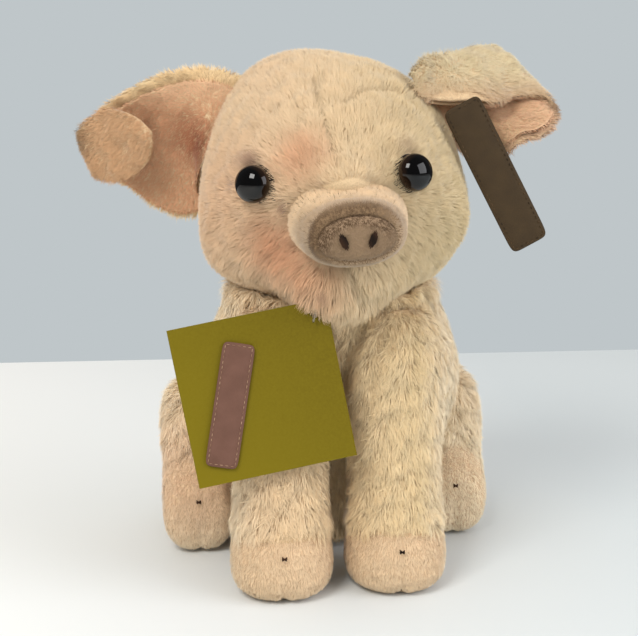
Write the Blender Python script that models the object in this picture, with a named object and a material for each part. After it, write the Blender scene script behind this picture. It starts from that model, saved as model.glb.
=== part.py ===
"""A sitting plush pig: sewn covers over polyester filling, safety eyes, folded ears and two hanging tags.

Metres, +Z up. The pig faces -Y and the origin is on the floor under the middle of the seat.
"""

import math

import bmesh
import bpy
import numpy as np
from mathutils import Matrix, Vector

# Fabric, thread and clearances
COVER_WALL = 0.003
SEWN_GAP = 0.0004
RUNNING_GAP = 0.0006
OVERRUN = 0.004
FLOOR_CUT = 0.0005

# Torso. The forelegs carry it, so its top lies a set way over the shoulders.
SHOULDER_HEIGHT = 0.072
SHOULDER_DROP = 0.035
TORSO_HEIGHT = SHOULDER_HEIGHT + SHOULDER_DROP
TORSO_WIDTH = 0.092
TORSO_DEPTH = 0.061
TORSO_LEAN = 0.027
# Height, lean, half depth and half width, each a share of the torso's own size.
TORSO_SHARES = (
    (0.0, 1.0, 0.30, 0.29),
    (0.015, 1.0, 0.40, 0.385),
    (0.056, 1.0, 0.467, 0.445),
    (0.15, 1.0, 0.485, 0.48),
    (0.28, 0.926, 0.492, 0.498),
    (0.42, 0.722, 0.50, 0.50),
    (0.56, 0.48, 0.51, 0.492),
    (0.70, 0.26, 0.515, 0.475),
    (0.82, 0.10, 0.50, 0.452),
    (0.915, 0.02, 0.467, 0.41),
    (0.98, 0.0, 0.41, 0.335),
    (1.0, 0.0, 0.32, 0.27),
)
TORSO_RING_SHARES = (0.012, 0.05, 0.13, 0.27, 0.42, 0.56, 0.69, 0.81, 0.90, 0.96, 0.99)

# Head, a ball that rests in the torso's top
HEAD_RADIUS = 0.0465
HEAD_SINK = 0.0197
HEAD_TURN = math.radians(-3.4)
HEAD_ROLL = math.radians(-4.0)
NECK_HOLE_RADIUS = 0.020
NECK_SEAM_DROP_SHARE = 0.9032
NECK_SEAM_THREAD = 0.0011
# Azimuth, elevation and spread in degrees, and height as a share of the head's radius.
HEAD_BUMP_SHARES = (
    (-58, -10, 31, 0.050),
    (58, -10, 31, 0.050),
    (-66, -20, 18, 0.055),
    (66, -20, 18, 0.055),
    (0, 74, 40, -0.012),
)

# Snout and nose
SNOUT_TURN = math.radians(4.8)
SNOUT_DIP = math.radians(-10.3)
SNOUT_PROUD = 0.016
SNOUT_LENGTH = HEAD_RADIUS + SNOUT_PROUD
SNOUT_WIDTH = 0.037
SNOUT_HEIGHT = 0.031
# Distance from the head's centre, half width and half height, as shares of the snout's sizes.
SNOUT_SHARES = (
    (0.62, 0.500, 0.500),
    (0.74, 0.470, 0.455),
    (0.84, 0.430, 0.410),
    (0.93, 0.385, 0.355),
    (0.985, 0.352, 0.318),
    (1.0, 0.330, 0.290),
)
NOSE_THICKNESS = 0.0034
NOSE_WIDTH = 0.0255
NOSE_HEIGHT = 0.0172
# Height and half size of the nose pad's rings.
NOSE_SHARES = ((0.0, 0.94), (0.25, 1.0), (0.55, 0.97), (0.82, 0.80), (1.0, 0.45))
NOSTRIL_SPACING = 0.0088
NOSTRIL_LENGTH = 0.0052
NOSTRIL_WIDTH = 0.0019
NOSTRIL_LEAN = math.radians(20.0)

# Safety eyes with felt behind and a locking washer inside
EYE_SPREAD = math.radians(31.5)
EYE_LIFT = math.radians(6.8)
EYE_RADIUS = 0.0060
EYE_DOME = 0.0046
EYE_RIM = 0.0010
EYE_SHANK_RADIUS = 0.0021
EYE_SHANK_LENGTH = 0.0145
WASHER_RADIUS = 0.0062
WASHER_THICKNESS = 0.0014
FELT_THICKNESS = 0.0008
FELT_RADIUS = 0.0067
FELT_INNER_TIP = 0.0016
FELT_OUTER_TIP = 0.0014
FELT_TIP_ANGLES = (math.radians(-22.0), math.radians(145.0))

# Ears: two layers of cloth with the tip folded over
EAR_LENGTH = 0.0735
EAR_WIDTH = 0.047
EAR_OUTER_THICKNESS = 0.0018
EAR_LINING_THICKNESS = 0.0012
EAR_FOLD_RADIUS = 0.0042
EAR_LIFT = math.radians(33.0)
EAR_CUP = 0.0035
# Distance from the root, upper edge and lower edge, as shares of the ear's length and width.
EAR_EDGE_SHARES = (
    (0.0, 0.15, -0.17),
    (0.05, 0.27, -0.42),
    (0.11, 0.34, -0.59),
    (0.20, 0.355, -0.665),
    (0.30, 0.335, -0.645),
    (0.40, 0.305, -0.53),
    (0.47, 0.27, -0.40),
    (0.56, 0.215, -0.32),
    (0.64, 0.185, -0.285),
    (0.78, 0.15, -0.33),
    (0.89, 0.08, -0.335),
    (0.96, -0.05, -0.31),
    (1.0, -0.15, -0.23),
)
EAR_ROOT_SHARE = 0.18
# Degrees of droop, sweep to the back, twist about the length and turn of the tip, and where it folds.
EAR_POSE_SHARES = {
    "left": (15.9, 22.2, 3.0, 155.7, 0.595),
    "right": (-11.1, 25.0, -60.2, 174.4, 0.357),
}

# Forelegs
FORELEG_SPREAD = 0.0195
FORELEG_RADIUS = 0.017
SHOULDER_FORWARD = 0.044
FORELEG_REACH_LEFT = 0.0150
FORELEG_REACH_RIGHT = 0.0120
FORELEG_REACHES = {"left": FORELEG_REACH_LEFT, "right": FORELEG_REACH_RIGHT}
FORELEG_SWING = math.radians(4.0)
# Height as a share of the shoulder's, reach share, half width share, half depth share.
FORELEG_SHARES = (
    (1.0, 0.0, 1.0, 1.0),
    (0.82, 0.14, 0.965, 0.965),
    (0.62, 0.41, 0.895, 0.91),
    (0.44, 0.68, 0.87, 0.895),
    (0.33, 0.82, 0.94, 0.95),
    (0.20, 0.95, 1.05, 1.06),
    (0.09, 1.0, 1.05, 1.07),
    (0.03, 1.0, 0.94, 0.96),
    (0.0, 1.0, 0.72, 0.76),
)
# Ring heights down the leg, closer together towards the hoof.
FORELEG_HEIGHT_SHARES = (0.86, 0.70, 0.54, 0.40, 0.325, 0.22, 0.12, 0.045)
HOOF_HEIGHT = 0.0235
STUFFING_HOLE_RADIUS = 0.0075

# Hind legs
HIP_HEIGHT = 0.030
HIP_BACK_LEFT = 0.0025
HIP_BACK_RIGHT = 0.0125
HIP_BACKS = {"left": HIP_BACK_LEFT, "right": HIP_BACK_RIGHT}
HIP_INSET = 0.0338
HIND_LENGTH = 0.055
HIND_HEIGHT = 0.057
HIND_WIDTH = 0.0275
HIND_SWING = (math.radians(0.0), math.radians(12.0))
# Distance from the rump end, lowest point, highest point and half width, as shares of the leg's sizes.
HIND_SHARES = (
    (0.0, 0.42, 0.66, 0.20),
    (0.04, 0.27, 0.78, 0.33),
    (0.12, 0.12, 0.88, 0.42),
    (0.25, 0.02, 0.97, 0.48),
    (0.45, -0.01, 1.0, 0.50),
    (0.62, -0.01, 0.93, 0.50),
    (0.74, -0.01, 0.74, 0.50),
    (0.84, -0.01, 0.555, 0.50),
    (0.93, 0.0, 0.485, 0.48),
    (0.98, 0.04, 0.42, 0.42),
    (1.0, 0.11, 0.33, 0.27),
)
HIND_HOOF_LENGTH = 0.0135
HIND_DISTANCE_SHARES = (0.0, 0.03, 0.10, 0.21, 0.36, 0.52, 0.66)
HIND_TOE_SHARES = (0.6, 0.28, 0.09, 0.0)

# Small embroidered knots on the hooves
KNOT_RADIUS = 0.0011
KNOT_DEPTH = 0.0007

# Tail, guessed: a short curl of stuffed tube
TAIL_HEIGHT = 0.030
TAIL_RADIUS = 0.0024
TAIL_CURL_RADIUS = 0.0062
TAIL_CURL_PITCH = 0.0062
TAIL_STEM = 0.006
TAIL_TURNS = 1.25

# Pellet bag in the seat
PELLET_BAG_WIDTH = 0.052
PELLET_BAG_DEPTH = 0.036
PELLET_BAG_HEIGHT = 0.024

# Hang tag: folded card, sewn-look label and moulded fastener
CARD_SIDE = 0.052
CARD_THICKNESS = 0.0004
CARD_SPREAD = 0.0024
CARD_LEAN = math.radians(10.7)
CARD_TILT = math.radians(8.5)
CARD_HOLE_INSET = 0.0045
CARD_HOLE_RADIUS = 0.0011
CARD_CORNER = 0.0006
PIN_RISE = 0.0065
PIN_PLACE_SIDE = -0.0087
CARD_STANDOFF = 0.0095
LABEL_WIDTH = 0.0105
LABEL_LENGTH = 0.0405
LABEL_THICKNESS = 0.0007
LABEL_LEAN = math.radians(-20.0)
# The label's middle from the card's top left corner, across and down.
LABEL_PLACE_SHARES = (0.29, 0.53)
PIN_RADIUS = 0.00045
PIN_HEAD_RADIUS = 0.0026
PIN_HEAD_THICKNESS = 0.0008
PIN_BAR_LENGTH = 0.0065

# Leather tag under the right ear
EAR_TAG_WIDTH = 0.0134
EAR_TAG_LENGTH = 0.053
EAR_TAG_THICKNESS = 0.0011
EAR_TAG_CORNER = 0.0016
EAR_TAG_SLANT = math.radians(-28.0)
EAR_TAG_OUT = 0.0024
EAR_TAG_DOWN = 0.0007
EAR_TAG_FORWARD = 0.0191

# Facets round a limb, round the torso and round small turned pieces
LIMB_SIDES = 16
TORSO_SIDES = 24
SMALL_SIDES = 14

HEAD_CENTRE = Vector((0.0, -TORSO_LEAN, TORSO_HEIGHT - HEAD_SINK + HEAD_RADIUS))
SIDES = {"left": -1.0, "right": 1.0}

FUR = ((0.76, 0.61, 0.39), 0.95)
SHORT_PILE = ((0.76, 0.56, 0.32), 0.95)
PINK_LINING = ((0.55, 0.24, 0.14), 0.95)
NOSE_CLOTH = ((0.37, 0.24, 0.16), 0.95)
DARK_FELT = ((0.03, 0.016, 0.012), 1.0)
BLACK_PLASTIC = ((0.012, 0.008, 0.006), 0.08)
WHITE_PLASTIC = ((0.75, 0.75, 0.74), 0.4)
BROWN_THREAD = ((0.05, 0.025, 0.015), 0.8)
CREAM_THREAD = ((0.7, 0.58, 0.4), 0.8)
FIBRE = ((0.85, 0.85, 0.83), 1.0)
OLIVE_CARD = ((0.20, 0.17, 0.01), 0.5)
LEATHER = ((0.045, 0.022, 0.01), 0.6)


def material(name, finish):
    """A plain material of one colour and roughness, made once for each name."""
    found = bpy.data.materials.get(name)
    if found:
        return found
    made = bpy.data.materials.new(name)
    made.use_nodes = True
    shader = made.node_tree.nodes["Principled BSDF"]
    shader.inputs["Base Color"].default_value = (*finish[0], 1.0)
    shader.inputs["Roughness"].default_value = finish[1]
    shader.inputs["Metallic"].default_value = 0.0
    return made


def add_object(name, mesh, slot, frame=None):
    """Puts a mesh in the scene at a frame, with its faces pointing outwards."""
    build = bmesh.new()
    build.from_mesh(mesh)
    bmesh.ops.recalc_face_normals(build, faces=build.faces)
    build.to_mesh(mesh)
    build.free()
    made = bpy.data.objects.new(name, mesh)
    made.matrix_world = frame or Matrix.Identity(4)
    bpy.context.scene.collection.objects.link(made)
    if slot:
        mesh.materials.append(slot)
        mesh.shade_smooth()
        mesh.set_sharp_from_angle(angle=math.radians(40))
    return made


def cutter(name, mesh, frame=None):
    """A guide body that only cuts others."""
    made = add_object(name, mesh, None, frame)
    made.hide_render = True
    made.display_type = "WIRE"
    return made


def cut(target, tool, operation="DIFFERENCE"):
    """Adds an exact Boolean of the target with the tool."""
    change = target.modifiers.new(tool.name, "BOOLEAN")
    change.operation = operation
    change.object = tool
    change.solver = "EXACT"


def chain_mesh(name, rings, loop=False):
    """Joins equal rings of points in order. The ends are capped, or joined to each other for a loop."""
    rings = np.asarray(rings, float)
    count, sides = rings.shape[:2]
    mesh = bpy.data.meshes.new(name)
    faces = []
    for i in range(count if loop else count - 1):
        here, there = i * sides, (i + 1) % count * sides
        for k in range(sides):
            after = (k + 1) % sides
            faces.append((here + k, here + after, there + after, there + k))
    if not loop:
        faces.append(tuple(range(sides)))
        faces.append(tuple(range((count - 1) * sides, count * sides)))
    mesh.from_pydata(rings.reshape(-1, 3).tolist(), [], faces)
    return mesh


def smooth_rows(rows, steps):
    """A smooth curve through rows of numbers, sampled at even steps of the row count."""
    rows = np.array(rows, float)
    wide = np.vstack([2 * rows[0] - rows[1], rows, 2 * rows[-1] - rows[-2]])
    place = np.linspace(0, len(rows) - 1, steps)
    span = np.minimum(place.astype(int), len(rows) - 2)
    t = (place - span)[:, None]
    a, b, c, d = (wide[span + i] for i in range(4))
    return 0.5 * (2 * b + (c - a) * t + (2 * a - 5 * b + 4 * c - d) * t**2 + (3 * b - a - 3 * c + d) * t**3)


def ring_xy(centre, half_x, half_y, sides, squareness=2.0):
    """A level superellipse round a centre."""
    turn = np.arange(sides) * 2 * math.pi / sides
    across = np.sign(np.cos(turn)) * np.abs(np.cos(turn)) ** (2 / squareness)
    along = np.sign(np.sin(turn)) * np.abs(np.sin(turn)) ** (2 / squareness)
    flat = np.stack([half_x * across, half_y * along, np.zeros(sides)], 1)
    return flat + np.array(centre)


def ball_mesh(name, radii, detail=4):
    """A ball or ellipsoid of near-equal triangles round its own centre."""
    build = bmesh.new()
    bmesh.ops.create_icosphere(build, subdivisions=detail, radius=1.0, matrix=Matrix.Diagonal((*radii, 1.0)))
    mesh = bpy.data.meshes.new(name)
    build.to_mesh(mesh)
    build.free()
    return mesh


def rod_mesh(name, radius, low, high, sides=SMALL_SIDES):
    """A straight round rod along its own Z, from low to high."""
    rings = [ring_xy((0, 0, low), radius, radius, sides), ring_xy((0, 0, high), radius, radius, sides)]
    return chain_mesh(name, rings)


def turned_mesh(name, profile, sides=SMALL_SIDES, loop=False):
    """A turned body from (radius, height) pairs up its own Z. A loop gives a ring."""
    rings = [ring_xy((0, 0, height), radius, radius, sides) for radius, height in profile]
    return chain_mesh(name, rings, loop)


def frame_at(origin, out, up=Vector((0, 0, 1))):
    """A frame whose Z points out and whose Y is as near up as it can be."""
    out = Vector(out).normalized()
    across = Vector(up).cross(out).normalized()
    upward = out.cross(across)
    turn = Matrix((across, upward, out)).transposed().to_4x4()
    return Matrix.Translation(origin) @ turn


def torso_section(height):
    """Middle in Y, half width and half depth of the torso at heights from its foot."""
    rows = smooth_rows(TORSO_SHARES, len(TORSO_SHARES) * 8)
    share = np.asarray(height) / TORSO_HEIGHT
    lean = TORSO_LEAN * (np.interp(share, rows[:, 0], rows[:, 1]) - 1)
    return (
        lean,
        TORSO_WIDTH * np.interp(share, rows[:, 0], rows[:, 3]),
        TORSO_DEPTH * np.interp(share, rows[:, 0], rows[:, 2]),
    )


def torso_rings(inset, floor, shares):
    """Level rings up the torso, drawn in by an inset and standing on a floor."""
    heights = floor + (TORSO_HEIGHT - floor) * np.array(shares)
    middles, widths, depths = torso_section(heights)
    return [
        ring_xy((0, middle, height), width - inset, depth - inset, TORSO_SIDES, 2.15)
        for height, middle, width, depth in zip(heights, middles, widths, depths)
    ]


def floor_rings(rings):
    """The rings with nothing below the floor, which cuts the form flat there."""
    rings = np.array(rings)
    rings[..., 2] = np.maximum(rings[..., 2], 0.0)
    return rings


def unit(vectors):
    return vectors / np.linalg.norm(vectors, axis=-1, keepdims=True)


def head_reach(directions):
    """The head's surface distance from its centre: a ball with soft cheeks and jowls."""
    reach = np.full(directions.shape[:-1], HEAD_RADIUS)
    for azimuth, elevation, spread, height in HEAD_BUMP_SHARES:
        a, e = math.radians(azimuth), math.radians(elevation)
        middle = np.array([math.sin(a) * math.cos(e), -math.cos(a) * math.cos(e), math.sin(e)])
        away = np.degrees(np.arccos(np.clip(directions @ middle, -1, 1))) / spread
        reach += HEAD_RADIUS * height * np.where(away < 1, np.cos(away * math.pi / 2) ** 2, 0)
    return reach


def head_mesh(name, lift, detail=4):
    """The head's form round its own centre, moved out or in by a lift."""
    mesh = ball_mesh(name, (1, 1, 1), detail)
    points = np.empty(len(mesh.vertices) * 3)
    mesh.vertices.foreach_get("co", points)
    way = unit(points.reshape(-1, 3))
    mesh.vertices.foreach_set("co", (way * (head_reach(way) + lift)[:, None]).ravel())
    return mesh


def face_direction(turn, lift):
    """A unit direction from the head's centre, turned to the pig's left or right and lifted."""
    return np.array([math.sin(turn) * math.cos(lift), -math.cos(turn) * math.cos(lift), math.sin(lift)])


def head_frame():
    """The head's own frame: turned a little and rolled, about its centre."""
    turn = Matrix.Rotation(HEAD_TURN, 4, "Z") @ Matrix.Rotation(HEAD_ROLL, 4, "Y")
    return Matrix.Translation(HEAD_CENTRE) @ turn


def snout_frame():
    """A frame at the head's centre whose Z runs out along the snout."""
    return head_frame() @ frame_at((0, 0, 0), face_direction(SNOUT_TURN, SNOUT_DIP))


def foreleg_section(side, height):
    """Forward place, half width and half depth of a foreleg at heights under the shoulder."""
    rows = smooth_rows(FORELEG_SHARES, len(FORELEG_SHARES) * 8)[::-1]
    share = np.asarray(height) / SHOULDER_HEIGHT
    forward = SHOULDER_FORWARD + FORELEG_REACHES[side] * np.interp(share, rows[:, 0], rows[:, 1])
    return (
        -forward,
        FORELEG_RADIUS * np.interp(share, rows[:, 0], rows[:, 2]),
        FORELEG_RADIUS * np.interp(share, rows[:, 0], rows[:, 3]),
    )


def foreleg_rings(side, lift, top_radius, low, high_angles, flare=0.0):
    """Rings from the shoulder's ball down to a low height. A flare widens them with depth."""
    across = SIDES[side] * FORELEG_SPREAD
    ball = FORELEG_RADIUS + lift
    first = math.asin(min(1.0, top_radius / ball))
    rings = []
    for turn in np.linspace(first, math.pi / 2, high_angles):
        centre = (across, -SHOULDER_FORWARD, SHOULDER_HEIGHT + ball * math.cos(turn))
        rings.append(ring_xy(centre, ball * math.sin(turn), ball * math.sin(turn), LIMB_SIDES))
    for height in np.array(foreleg_heights(low)):
        middle, wide, deep = foreleg_section(side, height)
        grow = lift + (SHOULDER_HEIGHT - height) * flare
        rings.append(ring_xy((across, middle, height), wide + grow, deep + grow, LIMB_SIDES, 2.2))
    return rings


def foreleg_heights(low):
    """Ring heights down a foreleg to a low height."""
    heights = [share * SHOULDER_HEIGHT for share in FORELEG_HEIGHT_SHARES]
    return [*(height for height in heights if height > low + SEWN_GAP), low]


def hind_section(along):
    """Lowest point, highest point and half width of a hind leg at distances from its rump end."""
    rows = smooth_rows(HIND_SHARES, len(HIND_SHARES) * 8)
    share = np.asarray(along) / HIND_LENGTH
    return (
        HIND_HEIGHT * np.interp(share, rows[:, 0], rows[:, 1]),
        HIND_HEIGHT * np.interp(share, rows[:, 0], rows[:, 2]),
        HIND_WIDTH * np.interp(share, rows[:, 0], rows[:, 3]),
    )


def hind_rings(side, inset, distances):
    """Upright rings along a hind leg from the rump end to the toe."""
    low, high, wide = hind_section(distances)
    turn = np.arange(LIMB_SIDES) * 2 * math.pi / LIMB_SIDES
    rings = []
    for y, z0, z1, half in zip(hind_rear(side) - np.array(distances), low, high, wide):
        across = HIP_INSET + HIND_WIDTH / 2 + (half - inset) * shaped(np.cos(turn), 2.6)
        upright = (z0 + z1) / 2 + ((z1 - z0) / 2 - inset) * shaped(np.sin(turn), 2.3)
        rings.append(np.stack([SIDES[side] * across, np.full(LIMB_SIDES, y), upright], 1))
    rings = np.array(rings)
    rings[..., 2] = np.maximum(rings[..., 2], inset)
    return rings


def shaped(values, squareness):
    return np.sign(values) * np.abs(values) ** (2 / squareness)


def hind_rear(side):
    """Y of the rump end of a hind leg."""
    return HIP_BACKS[side] + HIND_LENGTH / 2 - HIND_HOOF_LENGTH / 4


def ear_frame(side):
    """Root middle, root line, and the ear's length, width and front directions."""
    sign = SIDES[side]
    droop, sweep, twist = (math.radians(angle) for angle in EAR_POSE_SHARES[side][:3])
    out = head_frame().to_3x3() @ Vector((sign * math.cos(EAR_LIFT), 0.0, math.sin(EAR_LIFT)))
    root = HEAD_CENTRE + (HEAD_RADIUS + SEWN_GAP + EAR_OUTER_THICKNESS / 2) * out
    root_line = sign * out.cross(Vector((0, 1, 0))).normalized()
    level = math.cos(sweep)
    length = Vector((sign * math.cos(droop) * level, math.sin(sweep), -math.sin(droop) * level))
    width = Vector((sign * math.sin(droop), 0.0, math.cos(droop)))
    front = -sign * width.cross(length).normalized()
    width = width * math.cos(twist) + front * math.sin(twist)
    front = -sign * width.cross(length).normalized()
    return [np.array(vector) for vector in (root, root_line, length, width, front)]


def ear_rows(fold, fold_share):
    """Rows along an ear, as shares of its length, with more of them round the fold."""
    bend_share = EAR_FOLD_RADIUS * fold / EAR_LENGTH
    rows = (np.linspace(0, fold_share, 6), np.linspace(fold_share, fold_share + bend_share, 5),
            np.linspace(fold_share + bend_share, 1, 5))
    return np.unique(np.round(np.concatenate(rows), 6))


def ear_layer(side, name, inner, outer, slot, trim=0.0):
    """A layer of the folded ear between two depths from its middle sheet, positive to the back."""
    root, root_line, length, width, front = ear_frame(side)
    fold, fold_share = math.radians(EAR_POSE_SHARES[side][3]), EAR_POSE_SHARES[side][4]
    edges = smooth_rows(EAR_EDGE_SHARES, 60)
    along = ear_rows(fold, fold_share)
    upper = EAR_WIDTH * np.interp(along, edges[:, 0], edges[:, 1])
    lower = EAR_WIDTH * np.interp(along, edges[:, 0], edges[:, 2])
    across = np.linspace(0, 1, 7)
    start, bend = fold_share * EAR_LENGTH, EAR_FOLD_RADIUS * fold
    points = np.empty((2, len(along), len(across), 3))
    for i, share in enumerate(along):
        distance = max(share * EAR_LENGTH, trim)
        blend = min(1.0, share / EAR_ROOT_SHARE)
        blend = blend * blend * (3 - 2 * blend)
        side_way = unit(root_line * (1 - blend) + width * blend)
        turned = min(max(distance - start, 0.0), bend) / EAR_FOLD_RADIUS
        ahead = length * math.cos(turned) + front * math.sin(turned)
        facing = front * math.cos(turned) - length * math.sin(turned)
        facing = unit(facing - (facing @ side_way) * side_way)
        middle = root + min(distance, start) * length + max(distance - start - bend, 0.0) * ahead
        middle = middle + EAR_FOLD_RADIUS * (math.sin(turned) * length + (1 - math.cos(turned)) * front)
        place = np.clip(lower[i] + (upper[i] - lower[i]) * across, lower[i] + trim, upper[i] - trim)
        from_middle = (2 * place - upper[i] - lower[i]) / (upper[i] - lower[i])
        hollow = EAR_CUP * math.sin(math.pi * min(1.0, share / fold_share)) * (1 - from_middle**2)
        line = middle + np.outer(place, side_way) - np.outer(hollow, facing)
        points[0, i] = line - inner * facing
        points[1, i] = line - outer * facing
    rise = np.clip(along * EAR_LENGTH - trim, 0, 4 * SEWN_GAP)
    return sheet_object(name, clear_of_head(points, SEWN_GAP + rise[:, None]), slot)


def clear_of_head(points, gap):
    """The points with any that lie nearer the head than the gap moved straight out from its centre."""
    away = points - np.array(HEAD_CENTRE)
    least = head_reach(unit(away @ np.array(head_frame().to_3x3()))) + gap
    return np.array(HEAD_CENTRE) + unit(away) * np.maximum(np.linalg.norm(away, axis=-1), least)[..., None]


def sheet_object(name, points, slot):
    """A closed sheet from its two faces, each a grid of points."""
    layers, rows, columns = points.shape[:3]
    index = np.arange(layers * rows * columns).reshape(layers, rows, columns)
    faces = []
    for i in range(rows - 1):
        for k in range(columns - 1):
            front, back = index[0, i:i + 2, k:k + 2], index[1, i:i + 2, k:k + 2]
            faces.append((front[0, 0], front[1, 0], front[1, 1]))
            faces.append((front[0, 0], front[1, 1], front[0, 1]))
            faces.append((back[0, 0], back[1, 1], back[1, 0]))
            faces.append((back[0, 0], back[0, 1], back[1, 1]))
    edge = [(i, 0) for i in range(rows)] + [(rows - 1, k) for k in range(1, columns)]
    edge += [(i, columns - 1) for i in range(rows - 2, -1, -1)] + [(0, k) for k in range(columns - 2, 0, -1)]
    for (i, k), (p, q) in zip(edge, edge[1:] + edge[:1]):
        faces.append((index[0, i, k], index[1, i, k], index[1, p, q], index[0, p, q]))
    mesh = bpy.data.meshes.new(name)
    mesh.from_pydata(points.reshape(-1, 3).tolist(), [], [tuple(int(v) for v in face) for face in faces])
    return add_object(name, mesh, slot)


def swept_outline(points, low, high, gap):
    """A side outline about the hip that clears the given points turned between two angles."""
    polar = np.arctan2(points[:, 1], points[:, 0])
    order = np.argsort(polar)
    polar, reach = polar[order], np.hypot(points[:, 0], points[:, 1])[order]
    turn = np.linspace(-math.pi, math.pi, 41)[:-1]
    best = np.zeros(len(turn))
    for angle in np.linspace(low, high, 7):
        best = np.maximum(best, np.interp(turn - angle, polar, reach, period=2 * math.pi))
    best += gap
    return np.stack([best * np.cos(turn), best * np.sin(turn)], 1)


def clear_scene():
    for found in list(bpy.data.objects):
        bpy.data.objects.remove(found, do_unlink=True)


def make_head_space(name, gap, detail):
    """The ball that the head takes out of the torso."""
    ball = ball_mesh(name, (HEAD_RADIUS + gap,) * 3, detail)
    return cutter(name, ball, Matrix.Translation(HEAD_CENTRE))


def make_torso_cutters():
    """What the neck's thread, the shoulders and the hips take out of the torso."""
    tools = []
    tools.append(cutter("neck_seam_space", neck_seam_mesh("neck_seam_space", 2 * SEWN_GAP)))
    for side in SIDES:
        rings = foreleg_rings(side, RUNNING_GAP, FORELEG_RADIUS / 6, -OVERRUN, 4, math.tan(FORELEG_SWING))
        tools.append(cutter(f"foreleg_{side}_space", chain_mesh(f"foreleg_{side}_space", rings)))
        tools.append(make_hip_cutter(side))
    return tools


def make_hip_cutter(side):
    """A flat-sided pocket that clears the hind leg through its swing."""
    distances = np.linspace(0, HIND_LENGTH, 40)
    low, high, _ = hind_section(distances)
    y = hind_rear(side) - distances - HIP_BACKS[side]
    points = np.concatenate([np.stack([y, high - HIP_HEIGHT], 1), np.stack([y, low - HIP_HEIGHT], 1)])
    outline = swept_outline(points, -HIND_SWING[1], -HIND_SWING[0], RUNNING_GAP)
    outline[:, 1] = np.where(outline[:, 1] < -HIP_HEIGHT / 2, -HIP_HEIGHT - OVERRUN, outline[:, 1])
    outline = outline + (HIP_BACKS[side], HIP_HEIGHT)
    ends = []
    for x in (HIP_INSET - RUNNING_GAP, TORSO_WIDTH):
        ends.append(np.column_stack([np.full(len(outline), SIDES[side] * x), outline]))
    return cutter(f"hindleg_{side}_space", chain_mesh(f"hindleg_{side}_space", ends))


def neck_seam_mesh(name, grow):
    """A thread ring just outside the head's ball, round the upright through the head's centre."""
    thread = NECK_SEAM_THREAD + grow
    away = HEAD_RADIUS + RUNNING_GAP + NECK_SEAM_THREAD
    radius = math.sqrt(away**2 - (NECK_SEAM_DROP_SHARE * HEAD_RADIUS) ** 2)
    middle = HEAD_CENTRE - Vector((0, 0, NECK_SEAM_DROP_SHARE * HEAD_RADIUS))
    rings = []
    for turn in np.arange(6) * math.pi / 3:
        wide = radius + thread * math.cos(turn)
        rings.append(ring_xy(middle + Vector((0, 0, thread * math.sin(turn))), wide, wide, 2 * SMALL_SIDES))
    return chain_mesh(name, rings, loop=True)


def make_torso():
    """The torso's cover and filling, the pellet bag and the neck seam's thread."""
    tools = make_torso_cutters()
    outer = floor_rings(torso_rings(0.0, -FLOOR_CUT, (0.0, *TORSO_RING_SHARES)))
    inner = torso_rings(COVER_WALL, COVER_WALL, (0.0, *TORSO_RING_SHARES))
    shell = chain_mesh("torso_cover", [*outer, *inner[::-1]])
    cover = add_object("torso_cover", shell, material("plush", FUR))
    filled = torso_rings(COVER_WALL + SEWN_GAP, COVER_WALL + SEWN_GAP, (0.0, *TORSO_RING_SHARES))
    filling = add_object("torso_filling", chain_mesh("torso_filling", filled), material("filling", FIBRE))
    thread = rod_mesh("pin_space", PIN_RADIUS + SEWN_GAP, -CARD_STANDOFF, OVERRUN * 2)
    tools.append(cutter("pin_space", thread, pin_path_frame()))
    cut(cover, make_head_space("head_space", RUNNING_GAP, 4))
    cut(filling, make_head_space("head_space_inside", COVER_WALL, 3))
    for tool in tools:
        cut(cover, tool)
        cut(filling, tool)
    bar = cutter("pin_bar_space", ball_mesh("pin_bar_space", (PIN_BAR_LENGTH * 0.7, OVERRUN, OVERRUN), 2),
                 Matrix.Translation(pin_bar_place()))
    cut(filling, bar)
    bag = (PELLET_BAG_WIDTH / 2, PELLET_BAG_DEPTH / 2, PELLET_BAG_HEIGHT / 2)
    middle = Vector((0, torso_section(bag[2])[0], COVER_WALL + 2 * SEWN_GAP + bag[2]))
    place = Matrix.Translation(middle)
    add_object("pellet_bag", ball_mesh("pellet_bag", bag, 2), material("bag_cloth", FIBRE), place)
    room = [size + SEWN_GAP for size in bag]
    cut(filling, cutter("pellet_bag_space", ball_mesh("pellet_bag_space", room, 2), place))
    seat = rod_mesh("pellet_bag_entry", PELLET_BAG_DEPTH / 3, -OVERRUN, middle.z)
    cut(filling, cutter("pellet_bag_entry", seat, Matrix.Translation((0, middle.y, 0))))
    add_object("neck_seam", neck_seam_mesh("neck_seam", 0.0), material("cream_thread", CREAM_THREAD))


def make_head():
    """The head's cover and filling, with the neck hole and the holes for the eyes."""
    frame = head_frame()
    cover = add_object("head_cover", head_mesh("head_cover", 0.0), material("plush", FUR), frame)
    cut(cover, cutter("head_inside", head_mesh("head_inside", -COVER_WALL, 3), frame))
    hole = rod_mesh("neck_hole", NECK_HOLE_RADIUS, -HEAD_RADIUS - OVERRUN, -HEAD_RADIUS / 2)
    cut(cover, cutter("neck_hole", hole, Matrix.Translation(HEAD_CENTRE)))
    filling = add_object("head_filling", head_mesh("head_filling", -COVER_WALL - SEWN_GAP, 3),
                         material("filling", FIBRE), frame)
    for side in SIDES:
        make_eye(side, cover, filling)


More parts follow.
